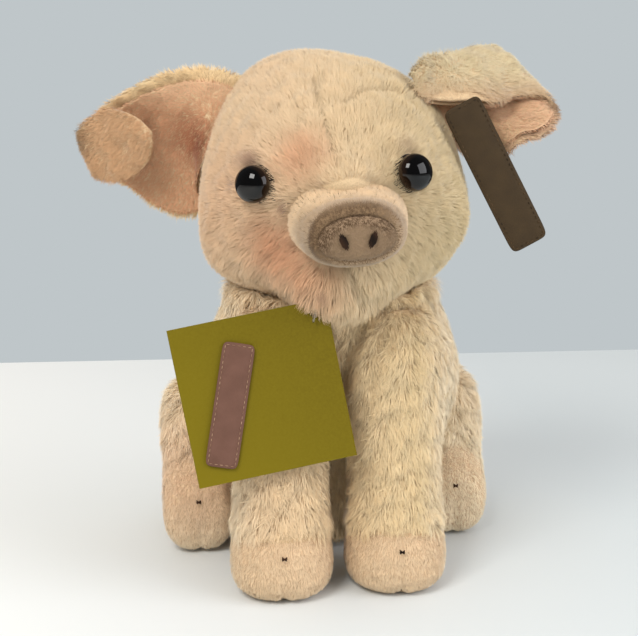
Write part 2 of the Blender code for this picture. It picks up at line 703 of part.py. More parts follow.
def make_eye(side, cover, filling):
    """One safety eye, the felt behind it and the washer that locks it inside."""
    way = face_direction(SIDES[side] * EYE_SPREAD, EYE_LIFT)
    reach = float(head_reach(way))
    place = head_frame() @ frame_at(Vector(way) * reach, way)
    base = FELT_THICKNESS + 2 * SEWN_GAP
    dome = [(EYE_RADIUS * math.cos(t), base + EYE_RIM + EYE_DOME * math.sin(t)) for t in
            np.radians((0, 20, 40, 60, 80))]
    shank = EYE_SHANK_RADIUS
    profile = [(shank * 0.6, -EYE_SHANK_LENGTH), (shank, -EYE_SHANK_LENGTH + shank), (shank, base),
               (EYE_RADIUS * 0.93, base), (EYE_RADIUS, base + EYE_RIM / 2)]
    ball = turned_mesh(f"eye_{side}", profile + dome)
    add_object(f"eye_{side}", ball, material("eye_plastic", BLACK_PLASTIC), place)
    make_felt(side, place)
    inside = -COVER_WALL - WASHER_RADIUS**2 / HEAD_RADIUS - WASHER_THICKNESS / 2
    bore = shank + SEWN_GAP / 2
    ring = [(bore, inside), (WASHER_RADIUS, inside), (WASHER_RADIUS, inside - WASHER_THICKNESS),
            (bore, inside - WASHER_THICKNESS)]
    add_object(f"eye_washer_{side}", turned_mesh(f"eye_washer_{side}", ring, loop=True),
               material("washer_plastic", WHITE_PLASTIC), place)
    hole = rod_mesh(f"eye_hole_{side}", shank + SEWN_GAP, -EYE_SHANK_LENGTH - shank, base)
    hole = cutter(f"eye_hole_{side}", hole, place)
    cut(cover, hole)
    cut(filling, hole)
    deep = inside - WASHER_THICKNESS - SEWN_GAP
    pocket = rod_mesh(f"washer_space_{side}", WASHER_RADIUS + SEWN_GAP, deep, base)
    cut(filling, cutter(f"washer_space_{side}", pocket, place))


def make_felt(side, place):
    """A dark felt backing that follows the head, round with a tip at each corner of the eye."""
    turn = np.arange(20) * math.pi / 10
    mirrored = turn if side == "left" else math.pi - turn
    reach = np.full(len(turn), FELT_RADIUS)
    for tip, angle in zip((FELT_INNER_TIP, FELT_OUTER_TIP), FELT_TIP_ANGLES):
        apart = np.abs(np.angle(np.exp(1j * (mirrored - angle))))
        reach += tip * np.clip(1 - apart / 0.7, 0, 1) ** 1.5
    bore = np.full(len(turn), EYE_SHANK_RADIUS + SEWN_GAP)
    middle = (reach + bore) / 2
    to_head = head_frame().inverted() @ place
    rings = []
    under, over = SEWN_GAP, SEWN_GAP + FELT_THICKNESS
    section = ((bore, under), (middle, under), (reach, under), (reach, over), (middle, over), (bore, over))
    for size, lift in section:
        flat = np.stack([size * np.cos(turn), size * np.sin(turn), np.zeros(len(turn))], 1)
        local = np.array([to_head @ Vector(point) for point in flat])
        way = unit(local)
        rings.append(way * (head_reach(way) + lift)[:, None])
    mesh = chain_mesh(f"eye_felt_{side}", rings, loop=True)
    add_object(f"eye_felt_{side}", mesh, material("felt", DARK_FELT), head_frame())


def make_snout():
    """The snout's tube and filling, the nose pad and its two stitched nostrils."""
    place = snout_frame()
    rows = smooth_rows(SNOUT_SHARES, 7)
    sizes = np.array((SNOUT_LENGTH, SNOUT_WIDTH, SNOUT_HEIGHT))

    def rings(inset):
        return [ring_xy((0, 0, z), x - inset, y - inset, TORSO_SIDES, 2.3) for z, x, y in rows * sizes]

    tube = chain_mesh("snout_cover", [*rings(0.0), *rings(COVER_WALL)[::-1]], loop=True)
    cover = add_object("snout_cover", tube, material("short_pile", SHORT_PILE), place)
    filling = add_object("snout_filling", chain_mesh("snout_filling", rings(COVER_WALL + SEWN_GAP)),
                         material("filling", FIBRE), place)
    ball = cutter("snout_seat", head_mesh("snout_seat", SEWN_GAP), head_frame())
    cut(cover, ball)
    cut(filling, ball)
    front = SNOUT_LENGTH + SEWN_GAP
    pad = []
    for height, size in NOSE_SHARES:
        middle = (0, 0, front + NOSE_THICKNESS * height)
        pad.append(ring_xy(middle, NOSE_WIDTH / 2 * size, NOSE_HEIGHT / 2 * size, LIMB_SIDES, 2.2))
    pad = add_object("nose_pad", chain_mesh("nose_pad", pad), material("nose_cloth", NOSE_CLOTH), place)
    for side, sign in SIDES.items():
        middle = Vector((sign * NOSTRIL_SPACING / 2, 0, front + NOSE_THICKNESS))
        turn = Matrix.Rotation(sign * -NOSTRIL_LEAN, 4, "Z")
        spot = place @ Matrix.Translation(middle) @ turn
        radii = (NOSTRIL_WIDTH / 2, NOSTRIL_LENGTH / 2, NOSTRIL_WIDTH / 2)
        stitch = ball_mesh(f"nostril_{side}", radii, 2)
        add_object(f"nostril_{side}", stitch, material("brown_thread", BROWN_THREAD), spot)
        room = [size + SEWN_GAP for size in radii]
        cut(pad, cutter(f"nostril_space_{side}", ball_mesh(f"nostril_space_{side}", room, 2), spot))


def make_ear(side):
    """One ear: a plush outer layer and a lining, sewn at the root and folded at the tip."""
    half, thin = SEWN_GAP / 2, EAR_LINING_THICKNESS
    ear_layer(side, f"ear_outer_{side}", half, half + EAR_OUTER_THICKNESS, material("plush", FUR))
    ear_layer(side, f"ear_lining_{side}", -half - thin, -half, material("lining", PINK_LINING), thin)


def make_foreleg(side):
    """One foreleg: cover, hoof and filling, with a knot on the hoof."""
    gap = SEWN_GAP
    outer = foreleg_rings(side, 0.0, STUFFING_HOLE_RADIUS, HOOF_HEIGHT + gap, 4)
    inner = foreleg_rings(side, -COVER_WALL, STUFFING_HOLE_RADIUS, HOOF_HEIGHT + gap, 4)
    mesh = chain_mesh(f"foreleg_cover_{side}", [*outer, *inner[::-1]], loop=True)
    add_object(f"foreleg_cover_{side}", mesh, material("plush", FUR))
    outer = [ring for ring in foreleg_rings(side, 0.0, STUFFING_HOLE_RADIUS, -FLOOR_CUT, 2)
             if ring[0][2] < HOOF_HEIGHT]
    inner = [ring for ring in foreleg_rings(side, -COVER_WALL, STUFFING_HOLE_RADIUS, COVER_WALL, 2)
             if ring[0][2] < HOOF_HEIGHT]
    inner = raised(inner, HOOF_HEIGHT)
    outer = floor_rings(raised(outer, HOOF_HEIGHT))
    mesh = chain_mesh(f"foreleg_hoof_{side}", [*outer[::-1], *inner])
    add_object(f"foreleg_hoof_{side}", mesh, material("short_pile", SHORT_PILE))
    inset = COVER_WALL + gap
    filled = foreleg_rings(side, -inset, FORELEG_RADIUS / 6, inset, 4)
    filled = chain_mesh(f"foreleg_filling_{side}", filled)
    add_object(f"foreleg_filling_{side}", filled, material("filling", FIBRE))
    height = HOOF_HEIGHT * 0.72
    middle, _, deep = foreleg_section(side, height)
    place = Vector((SIDES[side] * FORELEG_SPREAD, middle - deep - gap - KNOT_DEPTH / 2, height))
    add_knot(f"foreleg_knot_{side}", place)


def raised(rings, height):
    """The rings with the first one brought to a height, so that the form ends at its seam."""
    rings = np.array(rings)
    rings[0, :, 2] = height
    return rings


def add_knot(name, place):
    """A small thread knot on the front of a hoof."""
    mesh = ball_mesh(name, (KNOT_RADIUS, KNOT_DEPTH / 2, KNOT_RADIUS), 2)
    add_object(name, mesh, material("brown_thread", BROWN_THREAD), Matrix.Translation(place))


def make_hindleg(side):
    """One hind leg: cover, hoof and filling, flat towards the torso, with a knot on the hoof."""
    seam = HIND_LENGTH - HIND_HOOF_LENGTH
    rear = [share * HIND_LENGTH for share in HIND_DISTANCE_SHARES]
    to_seam = [*rear, seam - SEWN_GAP]
    outer = hind_rings(side, 0.0, to_seam)
    within = [max(value, COVER_WALL) for value in to_seam if value > COVER_WALL / 2 or value == 0]
    inner = hind_rings(side, COVER_WALL, within)
    cover = add_object(f"hindleg_cover_{side}", chain_mesh(f"hindleg_cover_{side}", [*outer, *inner[::-1]]),
                       material("plush", FUR))
    hole = rod_mesh(f"hip_hole_{side}", STUFFING_HOLE_RADIUS, -OVERRUN, COVER_WALL * 2)
    hip = Vector((SIDES[side] * HIP_INSET, HIP_BACKS[side], HIP_HEIGHT))
    cut(cover, cutter(f"hip_hole_{side}", hole, frame_at(hip, (SIDES[side], 0, 0))))
    toe = [seam, *(HIND_LENGTH - HIND_HOOF_LENGTH * share for share in HIND_TOE_SHARES)]
    outer = hind_rings(side, 0.0, toe)
    inner = hind_rings(side, COVER_WALL, [value for value in toe if value < HIND_LENGTH - COVER_WALL])
    mesh = chain_mesh(f"hindleg_hoof_{side}", [*outer[::-1], *inner])
    add_object(f"hindleg_hoof_{side}", mesh, material("short_pile", SHORT_PILE))
    inset = COVER_WALL + 2 * SEWN_GAP
    span = [value for value in (*rear, *toe) if inset < value < HIND_LENGTH - COVER_WALL]
    span[-1] -= inset - COVER_WALL
    filled = hind_rings(side, inset, span)
    filled = chain_mesh(f"hindleg_filling_{side}", filled)
    add_object(f"hindleg_filling_{side}", filled, material("filling", FIBRE))
    height = HIND_HEIGHT * 0.36
    across = SIDES[side] * (HIP_INSET + HIND_WIDTH / 2)
    front = hind_rear(side) - HIND_LENGTH - SEWN_GAP / 2 - KNOT_DEPTH / 2
    add_knot(f"hindleg_knot_{side}", Vector((across, front, height)))


def tail_root():
    """Where the tail leaves the rump."""
    middle, _, deep = torso_section(TAIL_HEIGHT)
    return Vector((0, middle + deep + 2 * SEWN_GAP, TAIL_HEIGHT))


def make_tail():
    """A short stem and a curl of stuffed tube on the rump."""
    root = tail_root()
    stem = [root + Vector((0, TAIL_STEM * t, 0)) for t in (0, 0.5, 1.0)]
    turns = np.linspace(0, TAIL_TURNS * 2 * math.pi, int(TAIL_TURNS * 10) + 1)[1:]
    centre = stem[-1] + Vector((0, 0, TAIL_CURL_RADIUS))
    curl = [centre + Vector((TAIL_CURL_PITCH * t / (2 * math.pi), TAIL_CURL_RADIUS * math.sin(t),
                             -TAIL_CURL_RADIUS * math.cos(t))) for t in turns]
    path = [*stem, *curl]
    thick = [TAIL_RADIUS * (1 - 0.4 * i / len(path)) for i in range(len(path))]
    add_object("tail", tube_mesh("tail", path, thick, 8), material("short_pile", SHORT_PILE))


def tube_mesh(name, path, radii, sides):
    """A round tube along a path of points, with a radius for each."""
    path = [Vector(point) for point in path]
    side_way = None
    rings = []
    turn = np.arange(sides) * 2 * math.pi / sides
    for i, (point, radius) in enumerate(zip(path, radii)):
        ahead = (path[min(i + 1, len(path) - 1)] - path[max(i - 1, 0)]).normalized()
        if side_way is None:
            side_way = ahead.orthogonal().normalized()
        side_way = (side_way - ahead * side_way.dot(ahead)).normalized()
        other = ahead.cross(side_way)
        ring = [point + radius * (math.cos(t) * side_way + math.sin(t) * other) for t in turn]
        rings.append([tuple(spot) for spot in ring])
    return chain_mesh(name, rings)


def card_frame():
    """The card's frame: X along its top edge, Y to the back, Z up its side, at the pin's hole."""
    hole = pin_hole_place()
    lean = Matrix.Rotation(-CARD_LEAN, 4, "Y")
    tilt = Matrix.Rotation(-CARD_TILT, 4, "X")
    return Matrix.Translation(hole) @ tilt @ lean


def pin_hole_place():
    """Where the card's hole hangs, in front of the chest and under the chin."""
    height = SHOULDER_HEIGHT + FORELEG_RADIUS + PIN_RISE
    middle, _, deep = torso_section(height)
    return Vector((PIN_PLACE_SIDE, middle - deep - CARD_STANDOFF, height))


def pin_bar_place():
    """Where the fastener's bar lies inside the chest."""
    hole = pin_hole_place()
    height = hole.z - 0.8 * CARD_STANDOFF
    middle, _, deep = torso_section(height)
    return Vector((hole.x, middle - deep + COVER_WALL + 5 * PIN_RADIUS + SEWN_GAP, height))


def pin_path_frame():
    """A frame at the fastener's bar whose Z points back along the thread."""
    bar = pin_bar_place()
    return frame_at(bar, bar - pin_thread_bend())


def pin_thread_bend():
    """Where the fastener's thread turns from the card's hole down to the chest."""
    hole = pin_hole_place()
    return hole + Vector((0, CARD_SPREAD + 2 * CARD_THICKNESS, 0))


def make_hang_tag():
    """A folded card on a moulded fastener, with a stitched label on its front leaf."""
    place = card_frame()
    left, right = CARD_HOLE_INSET - CARD_SIDE, CARD_HOLE_INSET
    bottom, top = CARD_HOLE_INSET - CARD_SIDE, CARD_HOLE_INSET
    thin = CARD_THICKNESS
    rear = CARD_SPREAD + thin
    outline = [(right, 0), (left + thin, 0), (left, thin / 2), (left, thin * 1.5), (left + thin, thin * 2),
               (right, rear + thin), (right, rear), (left + 2 * thin, thin * 1.3), (left + 2 * thin, thin),
               (right, thin)]
    ends = [[(x, y, z) for x, y in outline] for z in (bottom, top)]
    card = chain_mesh("hang_tag_card", ends)
    card = add_object("hang_tag_card", card, material("card", OLIVE_CARD), place)
    hole = rod_mesh("card_hole", CARD_HOLE_RADIUS, -OVERRUN, OVERRUN + CARD_SPREAD)
    cut(card, cutter("card_hole", hole, place @ frame_at((0, 0, 0), (0, 1, 0))))
    across, down = LABEL_PLACE_SHARES
    middle = Vector((left + across * CARD_SIDE, -SEWN_GAP - LABEL_THICKNESS / 2, top - down * CARD_SIDE))
    mesh = plate_mesh("hang_tag_label", LABEL_WIDTH, LABEL_THICKNESS, LABEL_LENGTH, CARD_CORNER)
    spot = place @ Matrix.Translation(middle) @ Matrix.Rotation(-LABEL_LEAN, 4, "Y")
    add_object("hang_tag_label", mesh, material("leather", LEATHER), spot)
    make_pin()


def make_pin():
    """The moulded fastener: a head in front of the card, a thin thread and a bar inside the chest."""
    hole, bend, bar = pin_hole_place(), pin_thread_bend(), pin_bar_place()
    front = hole - Vector((0, SEWN_GAP + PIN_HEAD_THICKNESS / 2, 0))
    reach = (bar - bend) * 0.35
    path = [front, hole, bend, bend + reach * 0.6, bar - reach * 0.3, bar]
    pin = add_object("tag_pin", tube_mesh("tag_pin", path, [PIN_RADIUS] * len(path), 8),
                     material("clear_nylon", WHITE_PLASTIC))
    head = rod_mesh("tag_pin_head", PIN_HEAD_RADIUS, -PIN_HEAD_THICKNESS / 2, PIN_HEAD_THICKNESS / 2)
    cut(pin, cutter("tag_pin_head", head, frame_at(front, (0, 1, 0))), "UNION")
    bar_mesh = rod_mesh("tag_pin_bar", PIN_RADIUS * 1.5, -PIN_BAR_LENGTH / 2, PIN_BAR_LENGTH / 2, 8)
    cut(pin, cutter("tag_pin_bar", bar_mesh, frame_at(bar, (1, 0, 0))), "UNION")


def plate_mesh(name, wide, thick, tall, corner):
    """A flat plate in its own XZ plane with cut corners."""
    x, z = wide / 2, tall / 2
    outline = [(-x + corner, -z), (x - corner, -z), (x, -z + corner), (x, z - corner), (x - corner, z),
               (-x + corner, z), (-x, z - corner), (-x, -z + corner)]
    return chain_mesh(name, [[(px, y, pz) for px, pz in outline] for y in (-thick / 2, thick / 2)])


def ear_tag_top():
    """The middle of the leather tag's upper edge, at the seam of the right ear's root."""
    return Vector(ear_frame("right")[0]) + Vector((EAR_TAG_OUT, -EAR_TAG_FORWARD, -EAR_TAG_DOWN))


def make_ear_tag():
    """A long leather tag that hangs in front of the right ear from the seam at its root."""
    turn = Matrix.Translation(ear_tag_top()) @ Matrix.Rotation(EAR_TAG_SLANT, 4, "Y")
    place = turn @ Matrix.Translation((0, 0, -EAR_TAG_LENGTH / 2))
    mesh = plate_mesh("ear_tag", EAR_TAG_WIDTH, EAR_TAG_THICKNESS, EAR_TAG_LENGTH, EAR_TAG_CORNER)
    add_object("ear_tag", mesh, material("leather", LEATHER), place)


def hang_on(name, pivot, pieces):
    """Parents the pieces that move together to an empty on their joint's axis."""
    joint = bpy.data.objects.new(name, None)
    joint.location = pivot
    bpy.context.scene.collection.objects.link(joint)
    for piece in pieces:
        bpy.data.objects[piece].parent = joint
        bpy.data.objects[piece].matrix_parent_inverse = Matrix.Translation(pivot).inverted()


def hang_all():
    """Every moving group of pieces on its joint."""
    head = ["head_cover", "head_filling", "snout_cover", "snout_filling", "nose_pad"]
    for side, sign in SIDES.items():
        head += [f"{piece}_{side}" for piece in ("eye", "eye_felt", "eye_washer", "nostril")]
        ear = [f"ear_outer_{side}", f"ear_lining_{side}"]
        hang_on(f"ear_joint_{side}", Vector(ear_frame(side)[0]), ear)
        shoulder = Vector((sign * FORELEG_SPREAD, -SHOULDER_FORWARD, SHOULDER_HEIGHT))
        hip = Vector((sign * HIP_INSET, HIP_BACKS[side], HIP_HEIGHT))
        for leg, pivot in (("foreleg", shoulder), ("hindleg", hip)):
            pieces = [f"{leg}_{piece}_{side}" for piece in ("cover", "hoof", "filling", "knot")]
            hang_on(f"{leg}_joint_{side}", pivot, pieces)
    hang_on("head_joint", HEAD_CENTRE, [*head, "neck_seam"])
    hang_on("tail_joint", tail_root(), ["tail"])
    hang_on("hang_tag_joint", pin_hole_place(), ["hang_tag_card", "hang_tag_label"])
    hang_on("ear_tag_joint", ear_tag_top(), ["ear_tag"])


def build():
    clear_scene()
    make_torso()
    make_head()
    make_snout()
    for side in SIDES:
        make_ear(side)
        make_foreleg(side)
        make_hindleg(side)
    make_tail()
    make_hang_tag()
    make_ear_tag()
    hang_all()


build()
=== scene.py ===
"""A sitting plush pig with folded ears, glossy eyes, a folded card tag and a leather ear tag."""

import math

import bpy
import numpy as np
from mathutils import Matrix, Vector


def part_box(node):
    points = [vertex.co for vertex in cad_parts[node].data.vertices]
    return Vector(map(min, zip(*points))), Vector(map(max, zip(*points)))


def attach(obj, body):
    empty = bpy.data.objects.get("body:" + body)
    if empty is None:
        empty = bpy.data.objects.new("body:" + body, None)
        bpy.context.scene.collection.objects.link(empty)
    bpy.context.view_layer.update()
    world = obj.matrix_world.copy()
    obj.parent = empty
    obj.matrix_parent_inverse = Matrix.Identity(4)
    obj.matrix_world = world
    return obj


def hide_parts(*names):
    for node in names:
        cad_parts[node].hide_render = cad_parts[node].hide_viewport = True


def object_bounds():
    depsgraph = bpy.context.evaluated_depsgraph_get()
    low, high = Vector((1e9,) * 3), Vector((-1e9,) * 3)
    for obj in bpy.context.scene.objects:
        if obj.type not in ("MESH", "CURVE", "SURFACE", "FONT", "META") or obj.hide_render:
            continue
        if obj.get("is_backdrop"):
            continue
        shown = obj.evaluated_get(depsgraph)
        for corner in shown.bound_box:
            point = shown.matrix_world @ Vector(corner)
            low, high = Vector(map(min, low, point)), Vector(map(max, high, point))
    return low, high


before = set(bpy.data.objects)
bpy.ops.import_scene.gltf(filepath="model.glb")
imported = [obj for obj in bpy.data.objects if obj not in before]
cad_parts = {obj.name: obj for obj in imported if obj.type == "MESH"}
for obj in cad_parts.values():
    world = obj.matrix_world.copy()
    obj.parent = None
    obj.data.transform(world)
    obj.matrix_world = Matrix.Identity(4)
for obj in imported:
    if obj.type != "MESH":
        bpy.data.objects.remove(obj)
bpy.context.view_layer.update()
scene = bpy.context.scene
scene.view_settings.view_transform = "Standard"
mm = 0.001

# Camera, floor and light. A short telephoto view from a little above and to one side, on a pale
# table in front of a pale wall, under a big soft lamp from the upper left and even room light.
PICTURE_WIDTH = 638
FOCAL_PIXELS = 1282
SENSOR_WIDTH = 36


def set_sockets(node, values):
    """Sets a node's sockets, each to a value or by a link from another socket."""
    for key, value in values.items():
        socket = node.inputs[key]
        if isinstance(value, bpy.types.NodeSocket):
            node.id_data.links.new(value, socket)
        else:
            socket.default_value = value


def add_node(tree, kind, values=None, **settings):
    """Adds a shader node with its settings, and its sockets' values or links."""
    node = tree.nodes.new("ShaderNode" + kind)
    for key, value in settings.items():
        setattr(node, key, value)
    set_sockets(node, values or {})
    return node


def hex_colour(code):
    """Linear colour of an sRGB hex value: c / 12.92 below 0.04045, else ((c + 0.055) / 1.055) ** 2.4."""
    c = np.array([int(code[i:i + 2], 16) / 255 for i in (1, 3, 5)])
    linear = np.where(c < 0.04045, c / 12.92, ((c + 0.055) / 1.055) ** 2.4)
    return (*linear.tolist(), 1.0)


def new_material(name):
    """An empty material with a Principled shader: the material, its tree and the shader."""
    made = bpy.data.materials.new(name)
    made.use_nodes = True
    return made, made.node_tree, made.node_tree.nodes["Principled BSDF"]


def object_place(tree):
    """The socket of the object's own coordinates."""
    return add_node(tree, "TexCoord").outputs["Object"]


def mixed(tree, share, one, other):
    """The socket of a mix between two colours, each a hex value or a socket."""
    one, other = (hex_colour(c) if isinstance(c, str) else c for c in (one, other))
    return add_node(tree, "MixRGB", {0: share, 1: one, 2: other}).outputs[0]


def raised(tree, height, distance, strength):
    """The socket of a normal bumped by a height."""
    return add_node(tree, "Bump", {"Height": height, "Distance": distance, "Strength": strength}).outputs[0]


def mottled(name, kind, texture, one, other, sockets, bump=None, output=0, **settings):
    """A material whose texture mixes two colours, and may raise its surface by (height, strength)."""
    made, tree, shader = new_material(name)
    height = add_node(tree, kind, {"Vector": object_place(tree), **texture}, **settings).outputs[output]
    set_sockets(shader, {"Base Color": mixed(tree, height, one, other), **sockets})
    if bump:
        set_sockets(shader, {"Normal": raised(tree, height, *bump)})
    return made


camera_data = bpy.data.cameras.new("camera")
camera_data.lens = FOCAL_PIXELS / PICTURE_WIDTH * SENSOR_WIDTH
camera_data.sensor_width = SENSOR_WIDTH
camera_data.shift_x = -5 / PICTURE_WIDTH
camera_data.clip_start = 0.01
camera = bpy.data.objects.new("camera", camera_data)
camera.location = (-0.04096, -0.46813, 0.176)
camera.rotation_euler = (math.radians(90 - 11.4), 0, math.radians(-5))
scene.collection.objects.link(camera)
scene.camera = camera

world = bpy.data.worlds.new("room")
scene.world = world
world.use_nodes = True
room = world.node_tree
seen = add_node(room, "LightPath")
wall = add_node(room, "Background", {"Color": hex_colour("#BFC6C9"), "Strength": 1.0})
even = add_node(room, "Background", {"Color": hex_colour("#FBF8F4"), "Strength": 0.76})
dim = add_node(room, "Background", {"Color": hex_colour("#5E6062"), "Strength": 1.0})
mirrored = add_node(
    room, "MixShader", {0: seen.outputs["Is Glossy Ray"], 1: even.outputs[0], 2: dim.outputs[0]})
either = add_node(
    room, "MixShader", {0: seen.outputs["Is Camera Ray"], 1: mirrored.outputs[0], 2: wall.outputs[0]})
set_sockets(room.nodes["World Output"], {"Surface": either.outputs[0]})


def soft_lamp(name, place, aim, size, power, colour):
    """A square lamp at a place that faces a point."""
    data = bpy.data.lights.new(name, "AREA")
    data.size = size
    data.energy = power
    data.color = hex_colour(colour)[:3]
    lamp = bpy.data.objects.new(name, data)
    lamp.location = place
    way = np.array(place) - np.array(aim)
    flat = math.hypot(way[0], way[1])
    lamp.rotation_euler = (math.atan2(flat, way[2]), 0, math.atan2(way[1], way[0]) + math.pi / 2)
    scene.collection.objects.link(lamp)


soft_lamp("window", (-0.45, -0.65, 0.85), (0, -0.02, 0.09), 0.42, 6.2, "#FFFDF8")
soft_lamp("side_fill", (0.8, -0.5, 0.5), (0, -0.02, 0.08), 0.7, 5.2, "#F6F6FA")

floor_mesh = bpy.data.meshes.new("floor")
floor_mesh.from_pydata([(-3, -3, 0), (3, -3, 0), (3, 0.30, 0), (-3, 0.27, 0)], [], [(0, 1, 2, 3)])
floor = bpy.data.objects.new("floor", floor_mesh)
scene.collection.objects.link(floor)
table_top, tree, shader = new_material("table_top_with_painted_light")
grain = add_node(tree, "TexNoise", {"Vector": object_place(tree), "Scale": 9.0})
axes = add_node(tree, "SeparateXYZ", {0: object_place(tree)})
# The table's colour fades from near white on the left to a cooler grey on the right: painted light falloff,
# brighter under the lamp at the upper left.
painted_light_falloff = add_node(tree, "MapRange", {0: axes.outputs["X"], 1: -0.22, 2: 0.12})
faint = add_node(tree, "Math", {0: grain.outputs[0], 1: 0.15}, operation="MULTIPLY")
near = mixed(tree, painted_light_falloff.outputs[0], "#F9FAF8", "#D2DADD")
set_sockets(
    shader, {"Base Color": mixed(tree, faint.outputs[0], near, "#EEF0F4"), "Roughness": 0.6,
    "Specular IOR Level": 0.3})
floor_mesh.materials.append(table_top)
floor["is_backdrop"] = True

# Torso: a pile-fabric body stuffed with polyester fibre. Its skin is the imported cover's own form,
# drawn in by the depth of the pile, swollen a little by its stuffing, with the pile standing on it.
FLOOR_GAP = 0.6 * mm


def read_rows(items, key, kind=float):
    """One property of a mesh's items, in rows of three."""
    values = np.empty(len(items) * 3, kind)
    items.foreach_get(key, values)
    return values.reshape(-1, 3)


def mesh_arrays(piece):
    """Vertices, unit vertex normals and triangles of a piece."""
    mesh = piece.data
    mesh.calc_loop_triangles()
    return (read_rows(mesh.vertices, "co"), read_rows(mesh.vertex_normals, "vector"),
            read_rows(mesh.loop_triangles, "vertices", np.int32))


def solid_arrays(*names):
    """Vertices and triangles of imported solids, joined in one pair of arrays."""
    points, faces, start = [], [], 0
    for name in names:
        co, _, corners = mesh_arrays(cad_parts[name])
        points.append(co)
        faces.append(corners + start)
        start += len(co)
    return np.concatenate(points), np.concatenate(faces)


def add_piece(name, points, faces, material):
    """A smooth mesh object at the origin from arrays of points and of equal-sized faces."""
    mesh = bpy.data.meshes.new(name)
    faces = np.asarray(faces, np.int32)
    count, sides = faces.shape
    mesh.vertices.add(len(points))
    mesh.vertices.foreach_set("co", np.asarray(points, np.float32).ravel())
    mesh.loops.add(faces.size)
    mesh.loops.foreach_set("vertex_index", faces.ravel())
    mesh.polygons.add(count)
    mesh.polygons.foreach_set("loop_start", np.arange(count, dtype=np.int32) * sides)
    mesh.update(calc_edges=True)
    mesh.polygons.foreach_set("use_smooth", np.full(count, True))
    mesh.materials.append(material)
    made = bpy.data.objects.new(name, mesh)
    scene.collection.objects.link(made)
    return made


def unit(vectors):
    """Vectors over their lengths."""
    return vectors / np.maximum(np.linalg.norm(vectors, axis=-1, keepdims=True), 1e-12)


def ramp(value):
    """A value held between 0 and 1."""
    return np.clip(value, 0, 1)


def settle(piece):
    """Applies a piece's modifiers, so that it keeps only the mesh that they make."""
    graph = bpy.context.evaluated_depsgraph_get()
    mesh = bpy.data.meshes.new_from_object(piece.evaluated_get(graph))
    piece.modifiers.clear()
    piece.data = mesh
    mesh.polygons.foreach_set("use_smooth", np.full(len(mesh.polygons), True))


def move_points(piece, co):
    """Moves a piece's vertices, none of them into the floor."""
    co[:, 2] = np.maximum(co[:, 2], FLOOR_GAP)
    piece.data.vertices.foreach_set("co", co.ravel())
    piece.data.update()


def stuffed_skin(name, nodes, material, voxel, depth, shape=None):
    """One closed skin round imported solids: their volume in voxels, smoothed, then p - depth * n.

    The shape function may move the points on before they are drawn in.
    """
    points, faces = solid_arrays(*nodes)
    piece = add_piece(name, points, faces, material)
    remesh = piece.modifiers.new("remesh", "REMESH")
    remesh.mode = "VOXEL"
    remesh.voxel_size = voxel
    relax = piece.modifiers.new("relax", "SMOOTH")
    relax.factor = 0.5
    relax.iterations = 12
    settle(piece)
    co, normal, _ = mesh_arrays(piece)
    if shape:
        co = shape(co, normal)
    move_points(piece, co - depth * normal)
    return piece


def swell(piece, seams, cap):
    """Stuffing pressure: a cloth swells between its seams, and no point moves further than the cap."""
    co, _, _ = mesh_arrays(piece)
    held = piece.vertex_groups.new(name="seams")
    held.add(np.nonzero(seams(co))[0].tolist(), 1.0, "REPLACE")
    cloth = piece.modifiers.new("cloth", "CLOTH")
    cloth.settings.quality = 4
    cloth.settings.vertex_group_mass = "seams"
    cloth.settings.use_pressure = True
    cloth.settings.uniform_pressure_force = 4.0
    cloth.settings.effector_weights.gravity = 0.0
    for step in range(1, 16):
        scene.frame_set(step)
    settle(piece)
    scene.frame_set(1)
    moved, _, _ = mesh_arrays(piece)
    away = moved - co
    size = np.linalg.norm(away, axis=1, keepdims=True)
    piece.vertex_groups.clear()
    move_points(piece, co + away * np.minimum(1, cap / np.maximum(size, 1e-9)))


def pile_material(name, roughness, sheen, fleck):
    """Brushed polyester pile. The fibres' own colour is in their tone; dye varies in 3 mm flecks."""
    made, tree, shader = new_material(name)
    tone = add_node(tree, "Attribute", attribute_name="tone")
    place = object_place(tree)
    dye = add_node(tree, "TexNoise", {"Vector": place, "Scale": 1 / (3 * mm) / 2, "Detail": 2.0})
    shade = add_node(tree, "MapRange", {0: dye.outputs[0], 1: 0.3, 2: 0.7, 3: 1 - fleck, 4: 1 + fleck})
    colour = add_node(
        tree, "VectorMath", {0: tone.outputs["Color"], 1: shade.outputs[0]}, operation="MULTIPLY")
    set_sockets(
        shader, {"Base Color": colour.outputs[0], "Roughness": roughness, "Sheen Weight": sheen,
        "Sheen Roughness": 0.5, "Specular IOR Level": 0.15})
    return made


def backing_material(name, code):
    """The knitted ground under the pile: 0.5 mm loops, a little darker than the fibres."""
    shaded = tuple(0.8 * c for c in hex_colour(code)[:3]) + (1.0,)
    return mottled(
        name, "TexVoronoi", {"Scale": 1 / (0.5 * mm)}, code, shaded, {"Roughness": 0.95}, (0.2 * mm, 0.6),
        "Distance")


def ripples(points, wave, seed):
    """Gradient of a smooth random field: the sum of k cos(k . p + phase) over twelve waves."""
    rng = np.random.default_rng(seed)
    ways = unit(rng.normal(size=(12, 3))) * (2 * math.pi / (wave * rng.uniform(0.7, 1.5, (12, 1))))
    phase = rng.uniform(0, 2 * math.pi, 12)
    return np.cos(points @ ways.T + phase) @ unit(ways) / 2.4


